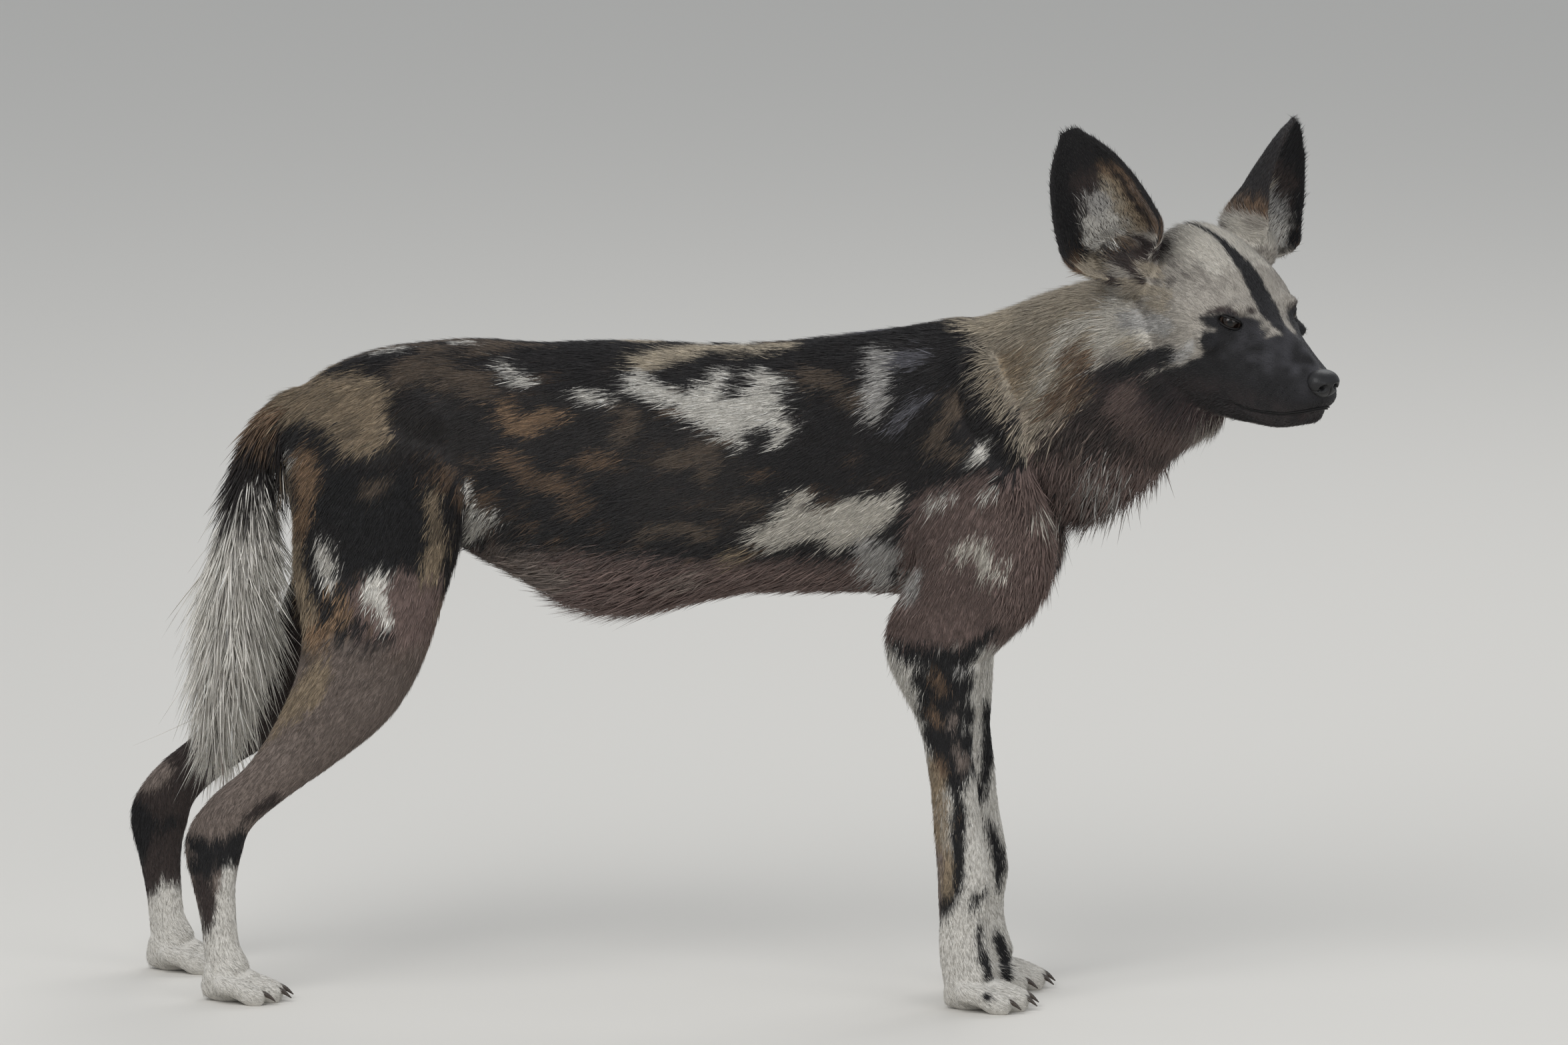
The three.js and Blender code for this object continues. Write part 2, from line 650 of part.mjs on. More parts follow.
function meshOf(name, made) {
  const { vertProperties, triVerts } = made.getMesh();
  const geometry = new THREE.BufferGeometry()
    .setAttribute("position", new THREE.BufferAttribute(new Float32Array(vertProperties), 3))
    .setIndex(new THREE.BufferAttribute(new Uint32Array(triVerts), 1));
  geometry.computeVertexNormals();
  const mesh = new THREE.Mesh(geometry, coatOf(name));
  mesh.name = name;
  return mesh;
}

const dog = new THREE.Group();
dog.name = "african_wild_dog";
dog.position.set(-MIDDLE[0], -MIDDLE[1], 0);
for (const [name, made] of Object.entries(nodes)) dog.add(meshOf(name, made));

export default dog;
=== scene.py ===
"""African wild dog, life size, standing with its head turned to its right.

Lengths in the tables are millimetres in the dog's own frame: X to its front, Y to its left,
Z up, with its median plane at y = 0. MIDDLE is where that frame's origin lies in the part's frame.
"""
import math

import bpy
import numpy as np
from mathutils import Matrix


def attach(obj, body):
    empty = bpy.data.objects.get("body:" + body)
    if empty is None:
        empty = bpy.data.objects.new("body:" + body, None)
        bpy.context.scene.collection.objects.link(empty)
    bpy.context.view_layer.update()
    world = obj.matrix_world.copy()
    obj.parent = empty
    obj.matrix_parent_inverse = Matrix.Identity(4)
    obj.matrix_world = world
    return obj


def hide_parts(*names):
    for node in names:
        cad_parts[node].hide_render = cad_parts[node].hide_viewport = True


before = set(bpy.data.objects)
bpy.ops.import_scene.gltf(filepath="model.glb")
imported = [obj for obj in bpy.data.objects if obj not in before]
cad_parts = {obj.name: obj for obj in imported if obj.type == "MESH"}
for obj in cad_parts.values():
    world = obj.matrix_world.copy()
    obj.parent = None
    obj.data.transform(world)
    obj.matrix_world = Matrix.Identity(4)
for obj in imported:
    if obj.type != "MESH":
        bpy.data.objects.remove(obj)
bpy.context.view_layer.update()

# ---- driving dimensions, as in the part's source

MIDDLE = np.array([3.0, -24.0, 0.0])
MM = 0.001

# Trunk: x, back line, belly line, half-width, height of the widest point, roundness above and below it.
TRUNK = [
    [-440, 596, 548, 30, 572, 2.0, 2.0],
    [-410, 619, 490, 58, 562, 2.1, 2.0],
    [-350, 642, 450, 79, 556, 2.2, 2.0],
    [-290, 651, 441, 82, 550, 2.3, 2.0],
    [-240, 654, 440, 80, 545, 2.3, 2.0],
    [-190, 655, 416, 84, 530, 2.3, 2.0],
    [-140, 654, 390, 92, 520, 2.2, 2.1],
    [-90, 653, 383, 98, 515, 2.2, 2.1],
    [-40, 652, 392, 102, 515, 2.2, 2.1],
    [10, 652, 402, 103, 520, 2.2, 2.1],
    [60, 655, 404, 100, 522, 2.1, 2.0],
    [110, 663, 404, 94, 522, 2.0, 1.9],
    [160, 671, 402, 87, 520, 1.9, 1.8],
    [210, 679, 402, 79, 518, 1.9, 1.8],
    [260, 684, 414, 68, 520, 1.9, 1.8],
    [305, 672, 438, 50, 525, 2.0, 1.9],
]
# A limb station: centre x, y, z, reach to the front or top, to the back or below, and to each side.
NECK = [
    [180, 0, 560, 112, 122, 66],
    [245, 0, 578, 102, 122, 68],
    [305, -4, 603, 95, 122, 70],
    [358, -12, 630, 90, 120, 72],
    [408, -24, 652, 82, 108, 72],
    [452, -42, 668, 70, 96, 66],
]
FORE_LEG = [
    [226, 50, 572, 50, 50, 20],
    [250, 66, 505, 66, 64, 32],
    [256, 72, 445, 68, 66, 36],
    [234, 70, 402, 58, 60, 33],
    [212, 68, 366, 50, 54, 29],
    [214, 65, 333, 42, 43, 25],
    [220, 62, 298, 32, 32, 23],
    [222, 60, 262, 26, 26, 21],
    [227, 58, 222, 25, 25, 20],
    [231, 57, 182, 25, 26, 20],
    [236, 56, 145, 27, 28, 21],
    [238, 55, 118, 28, 29, 21],
    [236, 55, 88, 26, 26, 20],
    [238, 55, 60, 26, 28, 22],
    [246, 55, 32, 26, 32, 25],
]
HIND_LEG = [
    [-338, 42, 606, 46, 56, 22],
    [-340, 62, 548, 82, 88, 36],
    [-338, 74, 484, 86, 86, 43],
    [-345, 79, 424, 78, 78, 41],
    [-352, 82, 366, 66, 64, 36],
    [-371, 82, 314, 55, 53, 31],
    [-409, 81, 262, 38, 38, 25],
    [-450, 80, 219, 27, 27, 20],
    [-484, 79, 187, 27, 28, 19],
    [-500, 78, 155, 30, 32, 20],
    [-501, 78, 118, 24, 24, 18],
    [-498, 77, 84, 21, 20, 17],
    [-494, 76, 52, 20, 20, 19],
    [-486, 76, 30, 22, 26, 23],
]
TAIL = [
    [-408, 0, 590, 24, 26, 30],
    [-438, 0, 577, 27, 27, 29],
    [-459, 0, 546, 26, 26, 27],
    [-472, 0, 505, 28, 27, 27],
    [-480, 0, 460, 30, 28, 28],
    [-487, 0, 410, 30, 30, 28],
    [-494, 0, 360, 29, 28, 27],
    [-501, 0, 316, 25, 24, 24],
    [-507, 0, 276, 15, 15, 15],
]
# How far the left fore and hind foot stand ahead of the right one, and where the shift fades out above.
LEFT_FORE_LEAD = 8
LEFT_HIND_LEAD = -72
FORE_FADE = (420, 250)
HIND_FADE = (520, 200)
# Each side: its name, its sign along Y, and how far its fore and hind foot lead.
SIDES = (("right", -1, 0, 0), ("left", 1, LEFT_FORE_LEAD, LEFT_HIND_LEAD))

# Head: the point midway between the eyes, its turn to the right and its dip, in degrees.
EYES_MIDDLE = np.array([526.0, -89.0, 698.0])
HEAD_TURN = 43
HEAD_DIP = 12
# Head sections along its own axis from the eyes: x, top, bottom, cheek half-width, cheek height,
# half-width near the crown and near the jaw, both as shares of the cheek's.
HEAD = [
    [-134, 38, -84, 50, -24, 0.72, 0.7],
    [-112, 60, -100, 66, -24, 0.72, 0.7],
    [-80, 64, -110, 76, -26, 0.7, 0.68],
    [-45, 55, -111, 77, -30, 0.72, 0.66],
    [-18, 43, -108, 67, -30, 0.78, 0.64],
    [4, 26, -106, 54, -34, 0.8, 0.68],
    [28, 9, -102, 43, -42, 0.72, 0.72],
    [56, -4, -96, 37, -48, 0.66, 0.78],
    [80, -15, -85, 33, -50, 0.64, 0.8],
    [95, -21, -70, 28, -47, 0.68, 0.8],
    [103, -28, -60, 19, -45, 0.72, 0.8],
]
EYE_AT = (-1, 35.5, 0)
EYE_RADIUS = 12
EYE_OUT = 46
EYE_UP = 8
NOSE_AT = (101, 0, -33)
NOSE_SIZE = (13, 18, 13.5)
MOUTH_LINE = [[103, -59], [97, -62], [80, -69], [58, -75], [36, -79], [16, -78]]
# Ears: root and tip, and the way that the cup opens, in the head's own frame.
EARS = {
    "right": dict(root=(-119, -70, 20), tip=(-165, -131, 152), opens=(0.77, -0.63, -0.1)),
    "left": dict(root=(-94, 66, 34), tip=(-126, 138, 146), opens=(0.97, 0.24, -0.1)),
}
# An ear's half-width, the half-angle that its cup spans and its thickness, from root to tip.
EAR = [
    [27, 150, 6],
    [42, 120, 5],
    [50, 96, 5],
    [49, 84, 4.6],
    [46, 78, 4.4],
    [41, 72, 4.2],
    [34, 68, 4.2],
    [23, 64, 4.2],
    [9, 60, 4.2],
]
FORE_PAW = dict(at=(252, 55), length=50, toe=12.5, spread=15)
HIND_PAW = dict(at=(-479, 76), length=46, toe=11.5, spread=14)
CLAW_LENGTH = 15
CLAW_RADIUS = 3.0

# How deep the skin lies under the tips of the coat.
DEPTH = dict(trunk=4, neck=5.5, leg=2.2, tail=11, head=2.0, ear=1.6)

# ---- colours


def linear(colour):
    """An sRGB hex colour as linear red, green and blue, by the sRGB curve."""
    parts = np.array([int(colour[i:i + 2], 16) for i in (1, 3, 5)]) / 255
    return np.where(parts <= 0.04045, parts / 12.92, ((parts + 0.055) / 1.055) ** 2.4)


# ---- shapes worked out on grids


def unit(vectors):
    """Vectors divided by their own lengths."""
    return vectors / np.maximum(np.linalg.norm(vectors, axis=-1, keepdims=True), 1e-9)


def smooth_curve(a, b, d, e, u):
    """A Catmull-Rom curve from b to d, with a before them and e after, at u between 0 and 1."""
    return 0.5 * (2 * b + (d - a) * u + (2 * a - 5 * b + 4 * d - e) * u**2 + (3 * b - a - 3 * d + e) * u**3)


def along(table, share):
    """Rows of a table at shares of its length, on a smooth curve through all the rows."""
    table = np.asarray(table, float)
    place = np.clip(share, 0, 1) * (len(table) - 1)
    i = np.minimum(place.astype(int), len(table) - 2)
    u = (place - i)[:, None]
    return smooth_curve(*(table[np.clip(i + k, 0, len(table) - 1)] for k in (-1, 0, 1, 2)), u)


def signed_power(value, roundness):
    """The value's size to the power 2 / roundness, with its sign kept."""
    return np.sign(value) * np.abs(value) ** (2 / roundness)


def limb_grid(table, sides, steps, more=0.0, caps=(78, 55, 30)):
    """A limb: superellipse sections carried along the table's centre line, square to it.

    A section is centre + left * side * cos(a)^(2/n) + up * reach * sin(a)^(2/n), with the upper
    reach where sin is positive, and the ends close as domes half as deep as they are wide.
    """
    share = np.concatenate([np.zeros(len(caps)), np.linspace(0, 1, steps), np.ones(len(caps))])
    tilt = np.radians(np.concatenate([caps, np.zeros(steps), caps[::-1]]))
    rows = along(table, share)
    if rows.shape[1] < 8:
        rows = np.hstack([rows, np.full((len(rows), 2), 2.0)])
    step = 0.5 / (len(table) - 1)
    ahead = unit(along(table, share + step)[:, :3] - along(table, share - step)[:, :3])
    left = unit(np.array([0.0, 1.0, 0.0]) - ahead * ahead[:, 1:2])
    up = np.cross(ahead, left)
    c, s = np.cos(round_angles(sides)), np.sin(round_angles(sides))
    above, below = rows[:, 6:7], rows[:, 7:8]
    roundness = np.where(s > 0, above, below)
    high = np.where(s > 0, rows[:, 3:4], rows[:, 4:5]) + more
    side = rows[:, 5:6] + more
    shrink = np.cos(tilt)[:, None]
    sign = np.where(np.arange(len(share)) < len(caps), -1.0, 1.0)[:, None]
    shift = sign * np.sin(tilt)[:, None] * 0.5 * side
    across = side * shrink * signed_power(c, roundness)
    upward = high * shrink * signed_power(s, roundness)
    return (rows[:, None, :3] + left[:, None] * across[..., None] + up[:, None] * upward[..., None]
            + ahead[:, None] * shift[..., None])


def ring_walls(rows, n, closed=False):
    """Triangles between neighbouring rings of n points; closed also joins the last ring to the first."""
    i, j = np.meshgrid(np.arange(rows if closed else rows - 1), np.arange(n), indexing="ij")
    a, b = (i * n + j).ravel(), (i * n + (j + 1) % n).ravel()
    c, d = (a + n) % (rows * n), (b + n) % (rows * n)
    return np.vstack([np.stack([a, b, c], 1), np.stack([b, d, c], 1)])


def closed_surface(grid):
    """Points and triangles of a grid of closed rings, with a fan at each end."""
    rows, n = grid.shape[:2]
    points = np.vstack([grid.reshape(-1, 3), grid[0].mean(0), grid[-1].mean(0)])
    j, last = np.arange(n), (rows - 1) * n
    start = np.stack([np.full(n, rows * n), (j + 1) % n, j], 1)
    end = np.stack([np.full(n, rows * n + 1), last + j, last + (j + 1) % n], 1)
    return points, np.vstack([ring_walls(rows, n), start, end])


def limb(table, *settings, **more):
    """A limb as a closed surface."""
    return closed_surface(limb_grid(table, *settings, **more))


def joined(pieces):
    """Several surfaces as one set of points and triangles."""
    offset = np.cumsum([0] + [len(p) for p, _ in pieces[:-1]])
    return np.vstack([p for p, _ in pieces]), np.vstack([t + o for (_, t), o in zip(pieces, offset)])


def round_angles(sides):
    """Angles evenly round a circle, as one row."""
    return np.linspace(0, 2 * np.pi, sides, endpoint=False)[None, :]


def ball_ways(polar, sides):
    """Directions from a ball's middle: rings at polar angles from the first axis, each of so many sides."""
    angle = round_angles(sides)
    return np.stack([np.cos(polar) * np.ones_like(angle), np.sin(polar) * np.cos(angle),
                     np.sin(polar) * np.sin(angle)], -1)


def ball(at, size, turn=None):
    """An ellipsoid: a unit ball stretched to three half-sizes, turned and moved."""
    grid = ball_ways(np.linspace(0, np.pi, 18)[1:-1, None], 28) * np.array(size)
    if turn is not None:
        grid = grid @ turn.T
    return closed_surface(grid + np.array(at))


def tube(path, wide, high, sides):
    """A tube round a path: out * wide * cos a + up * high * sin a, square to the path's own way."""
    ahead = unit(np.gradient(path, axis=0))
    out = unit(np.cross(ahead, np.array([0, 0, 1.0])))
    up = np.cross(out, ahead)
    angle = round_angles(sides)
    return closed_surface(path[:, None] + out[:, None] * (wide * np.cos(angle))[..., None]
                          + up[:, None] * (high * np.sin(angle))[..., None])


def turn_about(axis, degrees):
    """The matrix of a turn about one of the three axes."""
    c, s = math.cos(math.radians(degrees)), math.sin(math.radians(degrees))
    i, j = [(1, 2), (2, 0), (0, 1)]["xyz".index(axis)]
    made = np.eye(3)
    made[i, i] = made[j, j] = c
    made[i, j], made[j, i] = -s, s
    return made


HEAD_AXES = turn_about("z", -HEAD_TURN) @ turn_about("y", HEAD_DIP)


def from_head(points):
    """Points of the head's own frame in the dog's frame: turned, dipped and moved to the eyes."""
    return np.asarray(points, float) @ HEAD_AXES.T + EYES_MIDDLE


def to_head(points):
    """Points of the dog's frame in the head's own frame."""
    return (points - EYES_MIDDLE) @ HEAD_AXES


def smooth_step(low, high, value):
    """0 below low, 1 above high, with an eased slope between."""
    share = np.clip((value - low) / (high - low), 0, 1)
    return share * share * (3 - 2 * share)


def leg_table(table, side, lead, fade):
    """A leg's table for one side, with its foot set ahead by lead and the shift eased out above."""
    rows = np.array(table, float)
    rows[:, 0] += lead * smooth_step(0, 1, (fade[0] - rows[:, 2]) / (fade[0] - fade[1]))
    rows[:, 1] *= side
    return rows


def head_rings(share, sides=64, more=0.0):
    """Sections of the head: a smooth closed curve through twelve points, crown to throat and back."""
    x, top, bottom, cheek, z, crown, jaw = (c[:, None] for c in along(HEAD, share).T)
    wide = cheek + more
    half = [
        (0 * x, top + more),
        (wide * crown * 0.62, z + (top + more - z) * 0.9),
        (wide * (crown * 0.35 + 0.65), z + (top - z) * 0.52),
        (wide, z),
        (wide * (jaw * 0.45 + 0.55), z - (z - bottom) * 0.5),
        (wide * jaw * 0.62, z - (z - bottom + more) * 0.9),
        (0 * x, bottom - more),
    ]
    whole = half + [(-y, h) for y, h in half[-2:0:-1]]
    knots = np.stack([np.concatenate([k[c] for k in whole], 1) for c in (0, 1)], -1)
    place = np.arange(sides) * len(whole) / sides
    i = place.astype(int)
    u = (place - i)[None, :, None]
    curve = smooth_curve(*(knots[:, (i + k) % len(whole)] for k in (-1, 0, 1, 2)), u)
    return np.concatenate([np.repeat(x[:, None], sides, 1), curve], -1)


def head_loft(more):
    """The head's own mass: its sections one after the other, with a blunt snout."""
    rings = head_rings(np.linspace(0, 1, 80), more=more)
    tip = rings[-1].mean(0)
    blunt = [rings[-1] * (1 - s) + tip * s + np.array([x, 0, 0])
             for s, x in ((0.2, 1.6), (0.45, 2.8), (0.7, 3.4))]
    return closed_surface(np.concatenate([rings, np.array(blunt)]))


HEAD_FINE = head_rings(np.linspace(0, 1, 200), 180)


def head_half_width(x, z):
    """How far the head's side lies from its median plane at places along and up it."""
    x, z = np.atleast_1d(x), np.atleast_1d(z)
    rows = np.clip(np.searchsorted(HEAD_FINE[:, 0, 0], x), 0, len(HEAD_FINE) - 1)
    rings = HEAD_FINE[rows]
    near = np.abs(rings[..., 2] - z[:, None]) < 2.5
    return np.where(near, rings[..., 1], 0).max(1)


def ear_frame(side):
    """An ear's root, length and the ways up it, across it and out of its cup, in the head's frame."""
    root, tip, opens = (np.array(EARS[side][k], float) for k in ("root", "tip", "opens"))
    axis = tip - root
    up = unit(axis)
    opening = unit(opens - up * (opens @ up))
    return dict(root=root, length=np.linalg.norm(axis), up=up, open=opening, across=np.cross(up, opening))


def ear_section(share):
    """The ear's half-width, half-angle, radius, depth and thickness at shares of its height."""
    half, span, thick = along(EAR, share).T
    radius = half / np.sin(np.radians(np.minimum(span, 90)))
    return half, span, radius, radius * (1 - np.cos(np.radians(span))), thick


def ear_grid(side, rows=44, columns=36, thin=0.0):
    """A cupped ear: arcs that widen from a funnel at the root to a broad rounded leaf, given a thickness."""
    f = ear_frame(side)
    share = np.linspace(0, 1, rows)
    _, span, radius, depth, thick = (c[:, None] for c in ear_section(share))
    across = np.linspace(-1, 1, columns)[None, :]
    faces = []
    for way in (1, -1):
        angle = way * across * np.radians(span)
        out = way * np.maximum(thick / 2 - thin, 1.9)
        faces.append(f["root"] + f["up"] * (share[:, None] * f["length"] * np.ones_like(angle))[..., None]
                     + f["across"] * ((radius + out) * np.sin(angle))[..., None]
                     + f["open"] * (radius - depth / 2 - (radius + out) * np.cos(angle))[..., None])
    return np.concatenate(faces, 1)


def toes(paw, side, lead):
    """Each toe's root x and y, its heading's cosine and sine, its length and girth; the middle two lead."""
    for k in (-1.5, -0.5, 0.5, 1.5):
        back, length, girth = (0, 1, 1) if abs(k) < 1 else (7, 0.84, 0.94)
        turn = math.radians(5 * k)
        yield (paw["at"][0] + lead - back, side * paw["at"][1] + k * paw["spread"], math.cos(turn),
               math.sin(turn), paw["length"] * length, paw["toe"] * girth)


def paw_forms(paw, side, lead):
    """A paw: four arched toes, the middle two longer, before a heel pad, all as small limbs."""
    rows = [(-0.25, 1.75, 0.75, 0.9, 0.8), (0.25, 1.6, 0.85, 1.1, 0.92), (0.66, 1.02, 0.85, 1.24, 0.98),
            (0.9, 0.85, 0.62, 1.02, 0.76)]
    made = []
    for x, y, c, s, length, r in toes(paw, side, lead):
        table = [[x + c * t * length, y + s * t * length, r * z, r * up - 1, r * down - 0.2, r * wide - 0.9]
                 for t, z, up, down, wide in rows]
        made.append(limb(table, 24, 18, caps=(60, 30)))
    x, y = paw["at"][0] + lead, side * paw["at"][1]
    heel = [[x - 26, y, 26, 20, 25, 17], [x - 8, y, 22, 17, 26, 23], [x + 12, y, 18, 13, 20, 21]]
    return made + [limb(heel, 28, 16, more=-1, caps=(60, 30))]


def left_lead(x, z):
    """How far the left legs stand ahead of the right ones at a place on them, eased out above."""
    return np.where(x > 0, LEFT_FORE_LEAD * smooth_step(*FORE_FADE, z),
                    LEFT_HIND_LEAD * smooth_step(*HIND_FADE, z))


# ---- meshes


def in_metres(points):
    """Points of the dog's frame as one row of metres in the part's frame."""
    return ((points - MIDDLE) * MM).astype(np.float32).ravel()


def mesh_of(name, points, faces):
    """A smooth-shaded mesh in the part's frame, from points in the dog's frame and faces of one size."""
    mesh = bpy.data.meshes.new(name)
    count, corners = faces.shape
    mesh.vertices.add(len(points))
    mesh.vertices.foreach_set("co", in_metres(points))
    mesh.loops.add(count * corners)
    mesh.loops.foreach_set("vertex_index", faces.astype(np.int32).ravel())
    mesh.polygons.add(count)
    mesh.polygons.foreach_set("loop_start", np.arange(0, count * corners, corners, dtype=np.int32))
    mesh.polygons.foreach_set("use_smooth", np.full(count, True))
    mesh.update(calc_edges=True)
    return mesh


def in_scene(name, data):
    """A new object of the scene, at its origin."""
    made = bpy.data.objects.new(name, data)
    bpy.context.scene.collection.objects.link(made)
    return made


def piece(name, mesh, material):
    """A mesh as a shown piece of the dog, with its material and the body that it rides on."""
    made = in_scene(name, mesh)
    mesh.materials.clear()
    mesh.materials.append(material)
    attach(made, "root")
    return made


def with_modifier(mesh, kind, groups=None, **settings):
    """A copy of a mesh with one modifier applied."""
    holder = in_scene("holder", mesh)
    modifier = holder.modifiers.new(kind, kind)
    if groups is not None:
        group = holder.vertex_groups.new(name="share")
        for level in np.unique(groups):
            group.add(np.nonzero(groups == level)[0].tolist(), float(level), "REPLACE")
        modifier.vertex_group = "share"
    for key, value in settings.items():
        setattr(modifier, key, value)
    bpy.context.view_layer.update()
    made = bpy.data.meshes.new_from_object(holder.evaluated_get(bpy.context.evaluated_depsgraph_get()))
    bpy.data.objects.remove(holder)
    bpy.data.meshes.remove(mesh)
    return made


def points_of(mesh):
    """A mesh's points in millimetres in the dog's frame."""
    flat = np.empty(len(mesh.vertices) * 3, np.float32)
    mesh.vertices.foreach_get("co", flat)
    return flat.reshape(-1, 3).astype(float) / MM + MIDDLE


def put_points(mesh, points):
    """Moves a mesh's points to places in the dog's frame."""
    mesh.vertices.foreach_set("co", in_metres(points))
    mesh.update()


def edges_of(mesh):
    """A mesh's edges as pairs of point numbers."""
    flat = np.empty(len(mesh.edges) * 2, np.int32)
    mesh.edges.foreach_get("vertices", flat)
    return flat.reshape(-1, 2)


def relaxed(points, edges, weight, rounds, keep=0.0):
    """Each point moved by its weight towards the mean of its neighbours, over and over.

    With keep above 0 every second move goes back outwards, so thin parts hold their girth.
    """
    a, b = edges.T
    count = np.maximum(np.bincount(a, minlength=len(points)) + np.bincount(b, minlength=len(points)), 1)
    for i in range(rounds):
        mean = np.stack([np.bincount(a, points[b, k], len(points)) + np.bincount(b, points[a, k], len(points))
                         for k in range(3)], 1) / count[:, None]
        share = -keep if keep and i % 2 else 0.5
        points = points + (mean - points) * (share * weight)[:, None]
    return points


# ---- where on the dog a point lies


def along_head(q):
    """How far places of the head's frame lie before the eyes, along an axis that leans 20 degrees up."""
    return (q[:, 0] - 4) * 0.94 + (q[:, 2] - 19) * 0.342


def head_share(points):
    """1 on the head and 0 on the neck behind it, eased over the parting plane."""
    return smooth_step(-150, -115, along_head(to_head(points))) * (points[:, 0] > 380)


def ear_share(points):
    """1 on either ear, 0 at its root: the height along the ear's axis within its reach."""
    q = to_head(points)
    best = np.zeros(len(points))
    for side in EARS:
        f = ear_frame(side)
        rel = q - f["root"]
        within = (np.abs(rel @ f["across"]) < 66) & (np.abs(rel @ f["open"]) < 56) & (rel @ f["up"] < 220)
        best = np.maximum(best, smooth_step(8, 34, rel @ f["up"]) * within)
    return best


def tail_mask(points):
    """Where points lie on the tail, within a little more than its width of its line."""
    x, y, z = points.T
    tail = np.array(TAIL[::-1], float)
    off = np.hypot(x - np.interp(z, tail[:, 2], tail[:, 0]), y)
    return (x < -437) & (off < np.interp(z, tail[:, 2], tail[:, 3]) + 9) & (z > 240) & (z < 584)


def leg_share(points):
    """1 on the legs, eased to 0 over the elbow and stifle."""
    x, z = points[:, 0], points[:, 2]
    fore = (x > 80) & (x < 400)
    hind = (x < -240) & ~tail_mask(points)
    return np.where(fore, smooth_step(420, 380, z), np.where(hind, smooth_step(400, 330, z), 0.0))


# ---- the skin

VOXEL = 2.2
TRIANGLES_KEPT = 0.27


def skin_mesh():
    """One closed skin: every mass of flesh melted together, relaxed, then thinned away from the head."""
    d = DEPTH
    trunk = [[x, 0, z, top - z, z - bottom, half, above, below]
             for x, top, bottom, half, z, above, below in TRUNK]
    forms = [limb(trunk, 72, 120, -d["trunk"]), limb(NECK, 64, 50, -d["neck"]),
             limb(TAIL, 36, 60, -d["tail"])]
    for _, sign, fore, hind in SIDES:
        forms.append(limb(leg_table(FORE_LEG, sign, fore, FORE_FADE), 40, 110, -d["leg"]))
        forms.append(limb(leg_table(HIND_LEG, sign, hind, HIND_FADE), 40, 110, -d["leg"]))
        forms += paw_forms(FORE_PAW, sign, fore) + paw_forms(HIND_PAW, sign, hind)
        # Muscles under the coat: shoulder blade, upper arm, thigh and the tendon of the hock.
        for at, size, tilt in (((268, 58, 590), (26, 22, 74), 18), ((262, 74, 505), (40, 24, 44), 0),
                               ((-352, 88, 470), (52, 26, 88), -8), ((-300, 60, 580), (40, 26, 30), 0)):
            forms.append(ball((at[0], sign * at[1], at[2]), size[::-1], turn_about("y", -90 - tilt)))
    for points, faces in head_forms() + [closed_surface(ear_grid(s, thin=d["ear"] * 0.4)) for s in EARS]:
        forms.append((from_head(points), faces))
    mesh = with_modifier(mesh_of("skin", *joined(forms)), "REMESH", mode="VOXEL", voxel_size=VOXEL * MM)
    points, edges = points_of(mesh), edges_of(mesh)
    head, ear, leg = head_share(points), ear_share(points), leg_share(points)
    paw = smooth_step(70, 45, points[:, 2])
    firm = np.clip(np.maximum.reduce([head * 0.75, ear, leg * 0.5, paw * 0.9]), 0, 1)
    points = relaxed(points, edges, np.ones(len(points)), 6, keep=0.52)
    points = relaxed(points, edges, 1 - firm, 46)
    points = relaxed(points, edges, head * (1 - ear) * 0.8, 6)
    put_points(mesh, points)
    bared = np.round(1 - np.maximum(head, smooth_step(60, 40, points[:, 2]) * 0.5), 1)
    return with_modifier(mesh, "DECIMATE", groups=bared, ratio=TRIANGLES_KEPT, use_collapse_triangulate=True)


def eye_centre(sign):
    """The middle of an eyeball in the head's frame."""
    return np.array([EYE_AT[0], sign * EYE_AT[1], EYE_AT[2]])


def eye_axes(sign):
    """The way an eye looks, and its own way to the nose and up, in the head's frame."""
    out, up = math.radians(EYE_OUT), math.radians(EYE_UP)
    gaze = np.array([math.cos(out) * math.cos(up), sign * math.sin(out) * math.cos(up), math.sin(up)])
    inward = np.array([math.sin(out), -sign * math.cos(out), 0])
    upward = unit(np.array([0, 0, 1.0]) - gaze * gaze[2])
    c, s = math.cos(math.radians(12)), math.sin(math.radians(12))
    return gaze, inward * c - upward * s, upward * c + inward * s


def head_forms():
    """The head's masses: its loft, brows, cheek bones, lids, lip pads, chin, nose bridge and ear roots."""
    forms = [head_loft(-DEPTH["head"]), ball((97, 0, -36), (10, 16, 12)),
             ball((40, 0, -8), (50, 12, 11), turn_about("y", 16))]
    for sign in (1, -1):
        forms += [
            ball(eye_centre(sign), [EYE_RADIUS + 2.2] * 3),
            ball((-2, sign * 28, 15), (19, 13, 8), turn_about("z", sign * 38)),
            ball((-20, sign * 52, -20), (30, 12, 11), turn_about("z", sign * 24)),
            ball((-58, sign * 50, -40), (36, 24, 36)),
            ball((82, sign * 15, -50), (22, 16, 15)),
            ball((54, sign * 22, -56), (26, 14, 15)),
            ball((76, sign * 8, -72), (20, 13, 11)),
        ]
    for side in EARS:
        forms.append(ball(EARS[side]["root"], (34, 24, 28)))
    return forms


def sink_eyes(points):
    """Hollows the skin where the lids open: the outward reach along the gaze is held under the eyeball."""
    q = to_head(points)
    for sign in (1, -1):
        gaze, inward, upward = eye_axes(sign)
        rel = q - eye_centre(sign)
        g, a, b = rel @ gaze, rel @ inward, rel @ upward
        open_share = 1 - smooth_step(0.85, 1.15, np.hypot(a / 12.6, b / 6.2))
        floor = np.sqrt(np.maximum((EYE_RADIUS - 2.0) ** 2 - a * a - b * b, 4.0))
        open_share = open_share * (g > 0) * (np.linalg.norm(rel, axis=1) < 30)
        q = q + gaze * (np.minimum(floor - g, 0) * open_share)[:, None]
    return from_head(q)


